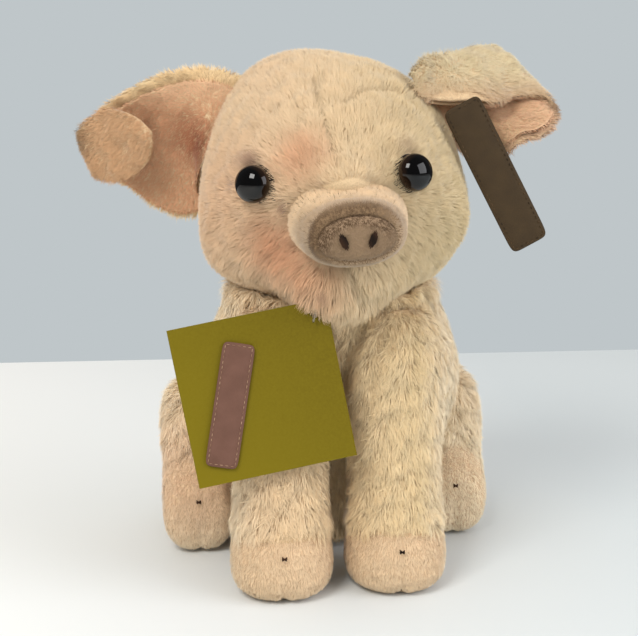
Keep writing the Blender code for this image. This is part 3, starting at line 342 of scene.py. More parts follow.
def grow_pile(name, skin, body, material, per_mm2, length, width, comb, tone, seed, rise=0.5, lay=0.85,
              tuft=0.3, wave=6.0, keep=None, trim=None, over=None, dark=0.93, relief=0.42):
    """Cut pile: each strand is a flat ribbon that tapers and bends over as it leaves the skin.

    A strand of length L is p(s) = root + L (rise (s - s^2 / 3) n + lay s^1.5 c + tuft s^1.5 g), with n
    the skin's normal, c the way it is combed and g the gradient of a ripple field, which gathers tips.
    Ribbons take their light as fine fibres do, by the pile's normal n - relief g, not by their flat side.
    """
    rng = np.random.default_rng(seed)
    co, normal, faces = mesh_arrays(skin)
    if over is not None:
        faces = faces[over]
    a, b, c = (co[faces[:, i]] for i in range(3))
    area = np.linalg.norm(np.cross(b - a, c - a), axis=1) / 2
    count = int(area.sum() * per_mm2 / mm**2)
    chosen = rng.choice(len(faces), count, p=area / area.sum())
    u, v = rng.random((2, count))
    fold = u + v > 1
    u, v = np.where(fold, 1 - u, u)[:, None], np.where(fold, 1 - v, v)[:, None]
    corner = faces[chosen]
    root = co[corner[:, 0]] * (1 - u - v) + co[corner[:, 1]] * u + co[corner[:, 2]] * v
    n = unit(normal[corner[:, 0]] * (1 - u - v) + normal[corner[:, 1]] * u + normal[corner[:, 2]] * v)
    if keep is not None:
        kept = keep(root, n)
        root, n = root[kept], n[kept]
    count = len(root)
    way = comb(root, n) + 0.3 * rng.normal(size=(count, 3))
    way = unit(way - np.sum(way * n, 1, keepdims=True) * n)
    gather = ripples(root, wave * mm, seed) + 0.6 * ripples(root, wave * 0.45 * mm, seed + 1)
    gather = gather - np.sum(gather * n, 1, keepdims=True) * n
    long = length * mm * rng.uniform(0.72, 1.15, (count, 1))
    if trim is not None:
        long = long * trim(root)[:, None]
    turn = rng.normal(0, 0.5, (count, 1))
    side = unit(np.cross(way, n)) * np.cos(turn) + unit(way + n) * np.sin(turn) * 0.5
    rows = []
    for s, share in ((0.0, 0.8), (0.55, 1.0), (1.0, 0.0)):
        half = share * width * mm / 2
        spot = root + long * (rise * (s - s * s / 3) * n + s**1.5 * (lay * way + tuft * gather))
        rows += [spot - half * side, spot + half * side] if half else [spot]
    points = np.stack(rows, 1)
    points[..., 2] = np.maximum(points[..., 2], 0.05 * mm)
    cell = np.array(((0, 1, 3), (0, 3, 2), (2, 3, 4)))
    strands = (np.arange(count)[:, None, None] * 5 + cell).reshape(-1, 3)
    piece = add_piece(name, points.reshape(-1, 3), strands, material)
    # Painted shade and light along each strand: darker towards the root, where the pile shades itself, and
    # a little lighter at the tip.
    shade = np.array((dark, dark, 1.0, 1.0, 1.04))
    each = tone(root, n) * (1 + 0.025 * rng.normal(size=(count, 1)))
    colour = np.ones((count, 5, 4), np.float32)
    colour[..., :3] = ramp(each[:, None] * shade[:, None])
    light = unit(n - relief * gather + 0.05 * rng.normal(size=(count, 3)))
    lit = piece.data.attributes.new("custom_normal", "FLOAT_VECTOR", "POINT")
    lit.data.foreach_set("vector", np.repeat(light, 5, 0).astype(np.float32).ravel())
    layer = piece.data.color_attributes.new("tone", "FLOAT_COLOR", "POINT")
    layer.data.foreach_set("color", colour.ravel())
    grid = int(math.ceil(math.sqrt(count)))
    across = np.array((0.1, 0.9, 0.1, 0.9, 0.5))
    along = np.array((0.05, 0.05, 0.55, 0.55, 0.95))
    index = np.arange(count)[:, None]
    spot = np.stack([(index % grid + across) / grid, (index // grid + along) / grid], -1)
    chart = piece.data.uv_layers.new(name="OFBake")
    chart.data.foreach_set("uv", spot.reshape(-1, 2)[strands.ravel()].astype(np.float32).ravel())
    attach(piece, body)
    return piece


def patch(points, centre, radius):
    """1 at a centre, falling to 0 at a radius: (1 - (d / r)^2)^2."""
    d = np.linalg.norm((points - np.array(centre) * mm) / (radius * mm), axis=1)
    return (ramp(1 - d * d) ** 2)[:, None]


def blend(one, other, share):
    """one + (other - one) share."""
    return one + (other - one) * share


def dyed(code):
    """A fibre's colour from an sRGB hex value."""
    return np.array(hex_colour(code)[:3])


CREAM, BUTTER, SIDE_PAINTED_LIGHT, PINK = (dyed(code) for code in ("#EFD3AE", "#EDD6A8", "#FCE9C8", "#E3AC86"))
HEAD_CENTRE = np.array((0, -0.027, 0.1338))
HEAD_RADIUS = 46.5 * mm
plush = pile_material("brushed_polyester_pile", 0.9, 0.25, 0.05)
knit = backing_material("knitted_backing", "#E6C9A0")


def body_tone(p, n):
    """Cream fibres, yellower on the right, paler on both flanks as painted light, and pinker low on the
    left one.
    """
    base = blend(CREAM, BUTTER, ramp(0.5 + p[:, :1] / 0.07))
    # Painted light: the flanks are blended paler to lift the shade on the sides.
    base = blend(base, SIDE_PAINTED_LIGHT, ramp((np.abs(p[:, :1]) - 25 * mm) / (11 * mm)))
    return blend(base, PINK, 0.5 * patch(p, (-48, -20, 25), 42))


def near_head(co):
    """1 on the head's ball, 0 at 9 mm from it."""
    return ramp(1 - (np.linalg.norm(co - HEAD_CENTRE, axis=1, keepdims=True) - HEAD_RADIUS) / (9 * mm))


def near_forelegs(co):
    """1 on a foreleg's surface, 0 at 7 mm from it: each leg is a rod between two points."""
    most = np.zeros((len(co), 1))
    for sign in (-1, 1):
        top, foot = np.array((sign * 19.5, -44, 72)) * mm, np.array((sign * 19.5, -57, 22)) * mm
        t = ramp((co - top) @ (foot - top) / np.sum((foot - top) ** 2))[:, None]
        gap = np.linalg.norm(co - top - t * (foot - top), axis=1, keepdims=True) - 17 * mm
        most = np.maximum(most, ramp(1 - gap / (7 * mm)))
    return most


def torso_shape(co, n):
    """The skin's points with full flanks, drawn close to the head and the forelegs, and softly creased."""
    crease = np.sin(co[:, 2:] / (9 * mm) + 2.2 * np.sin(co[:, :1] / (17 * mm)))
    flank = np.exp(-((co[:, 2:] - 64 * mm) / (18 * mm)) ** 2)
    flank = flank * ramp((np.abs(co[:, :1]) - 26 * mm) / (14 * mm))
    inward = ramp(2 * np.sum(n * unit(HEAD_CENTRE - co), 1, keepdims=True))
    close = near_head(co)
    grow = 5.0 * mm * flank - 0.5 * mm * ramp(crease) ** 2
    return co + n * (grow + close * (3.2 + 2.6 * inward) * mm + 3.6 * mm * near_forelegs(co) * (1 - close))


torso_skin = stuffed_skin(
    "torso_skin", ("torso_cover", "torso_filling", "pellet_bag"), knit, 0.0022, 3.0 * mm, torso_shape)
swell(torso_skin, lambda p: (np.abs(p[:, 0]) < 1.2 * mm) | (p[:, 2] < 3 * mm), 1.2 * mm)
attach(torso_skin, "torso")
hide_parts("torso_cover", "torso_filling", "pellet_bag")


def torso_comb(p, n):
    """Down the body, a little outwards on the flanks."""
    return np.stack([0.25 * p[:, 0] / 0.04, np.zeros(len(p)), -np.ones(len(p))], 1)


def torso_roots(p, front):
    """True in one half of the torso where it isn't under the head's ball or flat on the floor."""
    outside = np.linalg.norm(p - HEAD_CENTRE, axis=1) > 45.2 * mm
    return outside & (p[:, 2] > 1.2 * mm) & ((p[:, 1] < -0.014) == front)


for half_name, front in (("front", True), ("back", False)):
    torso_pile = grow_pile(
        f"torso_pile_{half_name}", torso_skin, "torso", plush, 4.3, 5.6, 0.235, torso_comb, body_tone, 11,
        rise=0.56, keep=lambda p, n: torso_roots(p, front))

# Head: a stuffed ball of the same pile, with fuller cheeks and a seam up the forehead. It sits in the
# torso's top on a ring of thread. Places on it are degrees of turn and of lift in its own frame.
EYE_TURN, EYE_LIFT = 31.5, 6.8
SNOUT_TURN, SNOUT_LIFT = 4.8, -10.3
FACE_SEAMS = (((-8, 56.2), (-5.6, 45.3), (-2.8, 35), (-0.4, 24.6), (1.3, 16.1)),
              ((8.5, 39.3), (22.2, 46.1), (42.6, 45.2), (53.1, 36)),
              ((-4, -23.8), (3.6, -29.2), (6.7, -37), (18.1, -41.4)))


def turned(axis, degrees):
    """Rotation matrix about one of the world's axes."""
    t = math.radians(degrees)
    a, b = {"X": (1, 2), "Y": (2, 0), "Z": (0, 1)}[axis]
    made = np.eye(3)
    made[a, a] = made[b, b] = math.cos(t)
    made[a, b], made[b, a] = -math.sin(t), math.sin(t)
    return made


HEAD_TURN = turned("Z", -3.4) @ turned("Y", -4.0)


def face_way(turn, lift):
    """World direction from the head's centre at a turn and a lift."""
    t, e = math.radians(turn), math.radians(lift)
    return HEAD_TURN @ np.array((math.sin(t) * math.cos(e), -math.cos(t) * math.cos(e), math.sin(e)))


def near_way(p, turn, lift, spread):
    """1 along a direction of the head, 0 at a spread in degrees: cos^2 of the angle's share."""
    away = np.degrees(np.arccos(np.clip(unit(p - HEAD_CENTRE) @ face_way(turn, lift), -1, 1))) / spread
    return np.where(away < 1, np.cos(away * math.pi / 2) ** 2, 0)[:, None]


def mounds(p, rows):
    """The sum of height times near_way over rows of (height, turn, lift, spread)."""
    return sum(height * near_way(p, *way) for height, *way in rows)


def near_seam(p, wide):
    """1 on the lines where the face's panels meet, falling off as exp(-(d / wide)^2)."""
    ways = unit(p - HEAD_CENTRE)
    nearest = np.full(len(p), 1.0)
    for line in FACE_SEAMS:
        for a, b in zip(line, line[1:]):
            a, b = face_way(*a), face_way(*b)
            t = ramp((ways - a) @ (b - a) / np.sum((b - a) ** 2))[:, None]
            nearest = np.minimum(nearest, np.linalg.norm(ways - a - t * (b - a), axis=1))
    return np.exp(-(nearest * HEAD_RADIUS / wide) ** 2)[:, None]


CHEEKS = (2.4, -62, -20, 42), (2.4, 62, -20, 42)
EYE_RINGS = ((4.2, -EYE_TURN, EYE_LIFT, 24), (-4.2, -EYE_TURN, EYE_LIFT, 10),
             (4.2, EYE_TURN, EYE_LIFT, 24), (-4.2, EYE_TURN, EYE_LIFT, 10))
CROWN, BRIDGE = (3.8, -106, 64, 44), (8.0, 4.4, 5.5, 17)
CHIN = (4.8, -8, -41.5, 26), (6.0, 4, -50, 34)


def head_shape(co, n):
    """Fuller cheeks, crown, bridge and chin, a ring round each eye, a collar, and furrows on the seams."""
    collar = 2.2 * np.exp(-((co[:, 2:] - 107 * mm) / (7 * mm)) ** 2)
    grow = mounds(co, (*CHEEKS, *EYE_RINGS, CROWN, BRIDGE, *CHIN)) + collar
    return co + n * mm * (grow - 1.8 * near_seam(co, 1.7 * mm))


head_skin = stuffed_skin("head_skin", ("head_cover", "head_filling"), knit, 0.0022, 3.2 * mm, head_shape)
swell(head_skin, lambda p: (np.abs((p - HEAD_CENTRE) @ HEAD_TURN)[:, 0] < 1.2 * mm) | (p[:, 2] < 0.095),
      1.0 * mm)
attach(head_skin, "head")
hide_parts("head_cover", "head_filling")
SNOUT_OUT = face_way(SNOUT_TURN, SNOUT_LIFT)
SNOUT_TIP = HEAD_CENTRE + 0.060 * SNOUT_OUT
SPRAYED = dyed("#7A5650")
ROSY = (1.0, -25, -20, 23), (0.75, -12, 16, 18), (0.35, -50, 0, 45), (0.5, -10, -32, 16)
SMUDGES = ((0.6, -33.5, 14.5, 8), (0.35, -41, 15, 6), (0.3, 31, 15, 7), (0.7, -20, -2.2, 3.5),
           (0.5, -7.4, -34.1, 3), (0.5, -43, 6, 4))
TRIMMED = ((0.3, -36, EYE_LIFT, 11), (0.3, 36, EYE_LIFT, 11), (0.5, SNOUT_TURN, SNOUT_LIFT, 24),
           (-0.6, 0, -50, 42))
BARE = ((1, -EYE_TURN, EYE_LIFT, 7.4), (1, EYE_TURN, EYE_LIFT, 7.4), (1, SNOUT_TURN, SNOUT_LIFT, 17))


def head_comb(p, n):
    """Away from the snout over the face, and down on the cheeks and the back."""
    back = ramp((p[:, 1:2] + 0.035) / 0.03)
    down = np.clip(0.3 + 1.2 * (0.13 - p[:, 2:]) / 0.04, 0, 1.2) + 1.3 * back
    return unit(p - SNOUT_TIP) * (1 - 0.8 * back) + np.array((0.0, 0.0, -1.0)) * down


def head_tone(p, n):
    """Cream on the left and butter on the right, darker on the right and along the seams as painted shade,
    rosy on a cheek and the brow, sprayed at the eyes.
    """
    base = blend(CREAM, BUTTER, ramp(0.35 + p[:, :1] / 0.06))
    # Painted shade: the right side, away from the lamp, is darkened by up to a tenth.
    base = base * (0.88 - 0.09 * ramp(p[:, :1] / (25 * mm)))
    rosy = ramp(mounds(p, ROSY))
    # Painted shade in the seams' creases: the tone darkens by up to a fifth along them.
    base = blend(base, PINK, rosy) * (1 - 0.13 * rosy) * (1 - 0.2 * near_seam(p, 1.1 * mm))
    return blend(base, SPRAYED, np.clip(mounds(p, SMUDGES), 0, 0.8))


def around_eyes(p):
    """Shorter pile round the eyes, the snout and along the seams, and longer pile under the chin."""
    short = mounds(p, TRIMMED) + 0.35 * near_seam(p, 2 * mm)
    return 1 - np.clip(short[:, 0], -0.55, 0.8)


def head_roots(p, front, left):
    """True in one quarter of the head, off the eyes and what lies under the snout or in the torso."""
    shown = (mounds(p, BARE)[:, 0] == 0) & (p[:, 2] > 0.094)
    return shown & ((p[:, 1] < -0.034) == front) & ((p[:, 0] < 0) == left)


for front, left in ((True, True), (True, False), (False, True), (False, False)):
    quarter = ("front" if front else "back") + ("_left" if left else "_right")
    head_pile = grow_pile(
        f"head_pile_{quarter}", head_skin, "head", plush, 6.5 if front else 4.0, 4.4, 0.18, head_comb,
        head_tone, 21, keep=lambda p, n: head_roots(p, front, left), trim=around_eyes, rise=0.58, tuft=0.2,
        relief=0.3)


def thread_finish(name, one, other):
    """Twisted polyester thread: two shades that alternate with the 0.6 mm twist."""
    return mottled(
        name, "TexWave", {"Scale": 1 / (0.6 * mm) / 20}, one, other,
        {"Roughness": 0.7, "Specular IOR Level": 0.2}, (0.1 * mm, 0.5), "Fac", bands_direction="DIAGONAL")


def finish_node(node, material):
    """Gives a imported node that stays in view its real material."""
    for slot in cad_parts[node].material_slots:
        slot.material = material


finish_node("neck_seam", thread_finish("cream_polyester_thread", "#D9BE94", "#EFDDBC"))

# Snout: a short stuffed tube of clipped pile sewn on the face, with a rounded rim.
SNOUT_SIDE = unit(HEAD_TURN @ np.cross((0.0, 0.0, 1.0), HEAD_TURN.T @ SNOUT_OUT))
SNOUT_UP = np.cross(SNOUT_OUT, SNOUT_SIDE)
SNOUT_ROWS = ((0.66, 0.51, 0.50), (0.78, 0.475, 0.46), (0.87, 0.445, 0.425), (0.95, 0.42, 0.395),
              (0.995, 0.39, 0.355), (1.012, 0.345, 0.305), (1.005, 0.29, 0.25))
SNOUT_SIZE = np.array((62.5, 37.0, 31.0)) * mm
GREIGE, DARK_RIM, MUZZLE = (dyed(code) for code in ("#B79D80", "#5C4530", "#E6C8A2"))


def around(sides):
    """Angles of a full turn in equal steps."""
    return np.linspace(0, 2 * math.pi, sides, endpoint=False)


def squared(wave, power):
    """sign(w) |w|^power, which makes a circle's sine and cosine those of a superellipse."""
    return np.sign(wave) * np.abs(wave) ** power


def oval_rings(middle, out, side, up, rows, sides, power):
    """Superellipse rings up an axis: middle + h out + a C(t) side + b S(t) up, for rows of (h, a, b)."""
    c, s = squared(np.cos(around(sides)), 2 / power), squared(np.sin(around(sides)), 2 / power)
    h, a, b = (np.array(rows)[:, i, None, None] for i in range(3))
    return middle + h * out + a * c[:, None] * side + b * s[:, None] * up


def tube_faces(rings, sides):
    """Triangles between rings of points, with a pole at each end after the rings' own points."""
    here = np.arange(rings - 1)[:, None] * sides + np.arange(sides)
    after = np.arange(rings - 1)[:, None] * sides + (np.arange(sides) + 1) % sides
    walls = np.stack(
        [np.stack([here, after, after + sides], -1), np.stack([here, after + sides, here + sides], -1)], 2)
    k = np.arange(sides)
    first = np.stack([(k + 1) % sides, k, np.full(sides, rings * sides)], -1)
    last = (rings - 1) * sides
    end = np.stack([last + k, last + (k + 1) % sides, np.full(sides, rings * sides + 1)], -1)
    return np.concatenate([walls.reshape(-1, 3), first, end])


def closed_piece(name, points, faces, material):
    """A closed piece, with its faces turned over where they enclose less than nothing."""
    a, b, c = (points[faces[:, i]] - points.mean(0) for i in range(3))
    if np.sum(np.cross(a, b) * c) < 0:
        faces = faces[:, ::-1]
    return add_piece(name, points, faces, material)


def tube_piece(name, rings, material):
    """A closed piece through rings of points, with a pole at each end."""
    points = np.concatenate([rings.reshape(-1, 3), rings[:1].mean(1), rings[-1:].mean(1)])
    return closed_piece(name, points, tube_faces(*rings.shape[:2]), material)


def curve_through(rows, steps):
    """A Catmull-Rom curve through rows of numbers."""
    rows = np.array(rows, float)
    wide = np.vstack([2 * rows[0] - rows[1], rows, 2 * rows[-1] - rows[-2]])
    place = np.linspace(0, len(rows) - 1, steps)
    span = np.minimum(place.astype(int), len(rows) - 2)
    t = (place - span)[:, None]
    a, b, c, d = (wide[span + i] for i in range(4))
    return 0.5 * (2 * b + (c - a) * t + (2 * a - 5 * b + 4 * c - d) * t**2 + (3 * b - a - 3 * c + d) * t**3)


def flatter_below(rings):
    """Rings with what lies under the snout's axis drawn up by a fifth of its depth."""
    low = np.clip((rings - HEAD_CENTRE) @ SNOUT_UP, None, 0)
    return rings - 0.2 * low[..., None] * SNOUT_UP


def waisted_above(rings):
    """Rings with what lies over the axis drawn down by a fifth, up to 6 mm behind the snout's rim."""
    out = (rings - HEAD_CENTRE) @ SNOUT_OUT
    high = np.clip((rings - HEAD_CENTRE) @ SNOUT_UP, 0, None) * ramp((61 * mm - out) / (6 * mm))
    return rings - 0.2 * high[..., None] * SNOUT_UP


clipped = pile_material("clipped_polyester_pile", 0.9, 0.2, 0.04)
snout_knit = backing_material("muzzle_backing", "#8E7355")
rows = curve_through(SNOUT_ROWS, 40) * SNOUT_SIZE
rows[:, 1:] -= 0.8 * mm
rings = oval_rings(HEAD_CENTRE, SNOUT_OUT, SNOUT_SIDE, SNOUT_UP, rows, 72, 2.25)
snout_skin = tube_piece("snout_skin", waisted_above(flatter_below(rings)), snout_knit)
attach(snout_skin, "head")
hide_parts("snout_cover", "snout_filling")


def snout_place(p):
    """Height along the snout's axis and place across and up it, in mm."""
    d = (p - HEAD_CENTRE) / mm
    return d @ SNOUT_OUT, d @ SNOUT_SIDE, d @ SNOUT_UP


def nose_edge(a, b):
    """Distance from the snout's axis over the nose's own half sizes: 1 along its edge."""
    return np.hypot(a / 12.6, b / 8.4)


def snout_tone(p, n):
    """Cream at the face, greige towards the rim and on its left side, darker underneath as painted shade,
    and a dark arc over the nose, partly sprayed brown and partly painted shadow of the rim.
    """
    h, a, b = snout_place(p)
    colour = blend(MUZZLE, GREIGE, np.clip((h - 52) / 8 + np.clip(-a - 9, 0, 7) / 10, 0, 0.9)[:, None])
    # Painted shade under the snout: up to 30% darker on its underside.
    colour = colour * (1 - 0.3 * ramp((-b - 6) / 5))[:, None]
    # The dark arc inside the rim's top is partly sprayed brown and partly painted shadow of the rim over
    # the nose.
    inner = ramp((1.46 - nose_edge(a, b)) / 0.28) * ramp((h - 60.0) / 1.5)
    return blend(colour, DARK_RIM, 0.9 * (inner * ramp(0.5 + b / 12 - a / 22))[:, None])


def near_nose(p):
    """Shorter pile where the snout's rim meets the nose."""
    h, a, b = snout_place(p)
    return 1 - 0.6 * ramp((1.45 - nose_edge(a, b)) / 0.3) * ramp((h - 58) / 2)


snout_pile = grow_pile(
    "snout_pile", snout_skin, "head", clipped, 9.0, 2.5, 0.19, lambda p, n: -SNOUT_OUT, snout_tone, 31,
    rise=0.75, lay=0.5, tuft=0.12, wave=4.0, dark=0.92, relief=0.15, trim=near_nose)

# Nose: a flat oval of greige cloth set in the snout's end, with two satin-stitched nostrils.
NOSE_ROWS = ((-2.2, 0.90, 0.90), (-1.0, 0.97, 0.97), (0.2, 1.0, 1.0), (1.0, 0.97, 0.96), (1.8, 0.88, 0.87),
             (2.4, 0.74, 0.72), (2.75, 0.52, 0.52), (2.88, 0.3, 0.3), (2.92, 0.08, 0.08))
NOSE_SIZE = np.array((1.0, 12.2, 7.7)) * mm
NOSE_CLOTH = dyed("#A1876A")
NOSTRIL_X, NOSTRIL_LEAN = 4.4, 20.0
rows = curve_through(NOSE_ROWS, 34) * NOSE_SIZE
rows[:, 0] += 62.4 * mm
rings = flatter_below(oval_rings(HEAD_CENTRE, SNOUT_OUT, SNOUT_SIDE, SNOUT_UP, rows, 64, 2.15))
nose = tube_piece("nose", rings, backing_material("nose_cloth", "#A98D70"))
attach(nose, "head")
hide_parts("nose_pad")


def nose_tone(p, n):
    """Greige cloth, darker round its edge and its nostrils and most of all along its top, where the dark is
    partly sprayed brown and partly painted shadow of the snout's rim.
    """
    h, a, b = snout_place(p)
    # The edge and top darkening are partly sprayed brown and partly painted shadow of the snout's rim.
    edge = ramp(((a / 12.4) ** 2 + (b / 8.3) ** 2 - 0.28) / 0.34)
    top = edge * ramp(0.35 + b / 5 - a / 25)
    holes = sum(np.exp(-((a - x) / 1.7) ** 2 - ((b - 0.6) / 3.0) ** 2) for x in (-NOSTRIL_X, NOSTRIL_X))
    return blend(NOSE_CLOTH, DARK_RIM, np.clip(0.95 * top + 0.25 * edge + 0.6 * holes, 0, 0.92)[:, None])


nose_pile = grow_pile(
    "nose_pile", nose, "head", clipped, 12.0, 1.1, 0.15, lambda p, n: -SNOUT_UP, nose_tone, 32, rise=0.7,
    lay=0.6, tuft=0.1, wave=2.0, dark=0.92, relief=0.12, keep=lambda p, n: snout_place(p)[0] > 61.5)
brown_thread = thread_finish("brown_polyester_thread", "#1C1007", "#3B2516")


def thread_bars(name, starts, ends, rise, out, radius, material, sides=8, steps=9):
    """Stitches as arched rods: start + (end - start) t + 4 rise t (1 - t) out, round in section."""
    t = np.linspace(0, 1, steps)[None, :, None]
    starts, ends = np.asarray(starts, float)[:, None], np.asarray(ends, float)[:, None]
    out = np.broadcast_to(np.asarray(out, float), starts.shape[:1] + (3,))[:, None]
    line = starts + (ends - starts) * t + 4 * rise * t * (1 - t) * out
    side = unit(np.cross(unit(ends - starts), out))
    turn = around(sides)[:, None]
    taper = np.sqrt(np.clip(1 - (2 * t - 1) ** 6, 0.05, 1))[..., None]
    section = np.cos(turn) * side[:, :, None] + np.sin(turn) * out[:, :, None]
    rings = line[:, :, None] + radius * taper * section
    count = len(starts)
    points = np.concatenate([rings.reshape(count, -1, 3), rings[:, :1].mean(2), rings[:, -1:].mean(2)], 1)
    faces = np.arange(count)[:, None, None] * points.shape[1] + tube_faces(steps, sides)
    return closed_piece(name, points.reshape(-1, 3), faces.reshape(-1, 3), material)


for side, sign in (("left", -1), ("right", 1)):
    lean = math.radians(NOSTRIL_LEAN) * sign
    middle = HEAD_CENTRE + 65.7 * mm * SNOUT_OUT + sign * NOSTRIL_X * mm * SNOUT_SIDE + 0.6 * mm * SNOUT_UP
    along = math.cos(lean) * SNOUT_UP + math.sin(lean) * SNOUT_SIDE
    across = math.cos(lean) * SNOUT_SIDE - math.sin(lean) * SNOUT_UP
    place = np.array((-0.85, -0.45, 0.0, 0.45, 0.85))[:, None]
    half = np.array((1.7, 2.6, 3.0, 2.5, 1.5))[:, None] * mm
    spots = middle + place * mm * across
    nostril = thread_bars(
        f"nostril_stitches_{side}", spots - half * along, spots + half * along, 0.35 * mm, SNOUT_OUT,
        0.26 * mm, brown_thread)
    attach(nostril, "head")
    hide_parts(f"nostril_{side}")

# Eyes: glossy moulded buttons, black with a brown rim, on a patch of dark felt. A shank goes through the
# cover to a locking washer inside.
EYE_RADIUS = 6.0
FELT_REACH = 6.2
FELT_TIPS = {"left": ((2.3, -38), (1.6, 172)), "right": ((1.9, 38), (0.8, 205))}
FELT_SECTION = np.array(((0.35, 0.4), (0.7, 0.4), (0.97, 0.4), (1.0, 0.8), (0.97, 1.2), (0.7, 1.2),
                         (0.35, 1.2), (0.35, 0.4)))
SHANK_ROWS = ((-14.0, 1.3, 1.3), (-13.0, 2.1, 2.1), (1.4, 2.1, 2.1), (1.6, 5.55, 5.55), (1.9, 5.9, 5.9))
button, tree, shader = new_material("glossy_moulded_acrylic")
ring = add_node(tree, "Attribute", attribute_name="ring")
pupil = add_node(tree, "MapRange", {0: ring.outputs["Fac"], 1: 0.8, 2: 1.0})
set_sockets(
    shader, {"Base Color": mixed(tree, pupil.outputs[0], "#040303", "#22150C"), "Roughness": 0.04,
    "IOR": 1.49, "Coat Weight": 0.15, "Coat Roughness": 0.02, "Specular IOR Level": 0.33})
felt = mottled(
    "pressed_wool_felt", "TexNoise", {"Scale": 1 / (0.8 * mm), "Detail": 6.0}, "#120B08", "#2B1E17",
    {"Roughness": 1.0, "Sheen Weight": 0.08}, (0.3 * mm, 0.8))
washer_plastic = mottled(
    "white_polypropylene", "TexNoise", {"Scale": 300.0}, "#DADAD6", "#E8E8E4", {"Roughness": 0.4})
for side, sign in (("left", -1), ("right", 1)):
    out = face_way(sign * EYE_TURN, EYE_LIFT)
    across = unit(HEAD_TURN @ np.cross((0.0, 0.0, 1.0), HEAD_TURN.T @ out))
    upward = np.cross(out, across)
    middle = HEAD_CENTRE + HEAD_RADIUS * out
    angle = np.radians(np.linspace(0, 88, 22))
    dome = np.stack([2.6 + 4.6 * np.sin(angle), EYE_RADIUS * np.cos(angle), EYE_RADIUS * np.cos(angle)], 1)
    rows = np.concatenate([SHANK_ROWS, dome]) * mm
    eye = tube_piece(f"eye_button_{side}", oval_rings(middle, out, across, upward, rows, 48, 2.0), button)
    co, _, _ = mesh_arrays(eye)
    flat = co - middle - ((co - middle) @ out)[:, None] * out
    share = (np.linalg.norm(flat, axis=1) / (EYE_RADIUS * mm)).astype(np.float32)
    eye.data.attributes.new("ring", "FLOAT", "POINT").data.foreach_set("value", share)
    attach(eye, "head")
    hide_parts(f"eye_{side}")
    turn = around(72)
    reach = np.full(len(turn), FELT_REACH)
    for tip, place in FELT_TIPS[side]:
        apart = np.abs(np.angle(np.exp(1j * (turn - math.radians(place)))))
        reach += tip * ramp(1 - apart / 0.6) ** 1.5
    size, lift = (FELT_SECTION[:, i, None, None] for i in range(2))
    flat = size * reach[:, None] * mm * (np.cos(turn)[:, None] * across + np.sin(turn)[:, None] * upward)
    rings = HEAD_CENTRE + unit(middle + flat - HEAD_CENTRE) * (HEAD_RADIUS + lift * mm - 1.0 * mm)
    k = np.arange(len(turn))
    i = np.arange(len(FELT_SECTION) - 1)[:, None] * len(turn)
    after = i + (k + 1) % len(turn)
    quads = np.stack([i + k, after, after + len(turn), i + len(turn) + k], -1)
    backing = add_piece(f"eye_felt_patch_{side}", rings.reshape(-1, 3), quads.reshape(-1, 4), felt)
    weld = backing.modifiers.new("weld", "WELD")
    weld.merge_threshold = 0.01 * mm
    settle(backing)
    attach(backing, "head")
    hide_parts(f"eye_felt_{side}")
    finish_node(f"eye_washer_{side}", washer_plastic)

# Ears: plush outside and clipped rosy lining, cut to one outline, sewn at the root in a pleat. The tip of
# each is folded over to the front. Outlines are rows of distance from the root and both edges, in mm.
EAR_ROOTS = {"left": ((0.0, 12, -20), (3.7, 14.5, -25.5), (8.1, 16.3, -29)),
             "right": ((0.0, 3, -14), (3.7, 7, -22), (8.1, 12.5, -28))}
EAR_EDGES = ((14.7, 16.7, -31.3), (22, 15.7, -30.3), (29.4, 14.3, -24.9), (34.5, 12.7, -18.8))
EAR_TIPS = {"left": ((40, 10, -13.5), (46, 5.5, -8.5), (51, 7.5, -9.5), (57, 10.5, -11), (64, 11.5, -11.5),
                     (71, 9.5, -10), (77, 5, -6), (79, 1, -3)),
            "right": ((41.2, 10.1, -15), (48, 9.5, -14), (58, 8.5, -17), (66, 7.5, -14), (75, 3.5, -10.5),
                      (82, -1, -7.5))}
EAR_POSES = {"left": (15.9, 22.2, 3.0, 168.0, 41.0), "right": (-11.1, 25.0, -60.2, 174.4, 26.2)}
EAR_FOLD, EAR_CUP = 4.2, 3.5
EAR_REACH, ROOT_DEPTH = 44.6 * mm, 7.5
EAR_SPOTS = {"left": ((-89, -13, 149), 13), "right": ((77, -34, 161), 7)}
TAG_TOP = np.array((41, -45, 158)) * mm
LINING_FAR, LINING_MID, LINING_PLEAT_DYE_AND_SHADE = (dyed(code) for code in ("#E6BD98", "#CC8F68", "#9A5233"))
EAR_CREAM, EAR_PEACH, EAR_BUTTER = (dyed(code) for code in ("#F1D6A8", "#CFA57D", "#D9C8A2"))
EAR_ROSE, BURNT = (dyed(code) for code in ("#D2B08F", "#5E4226"))


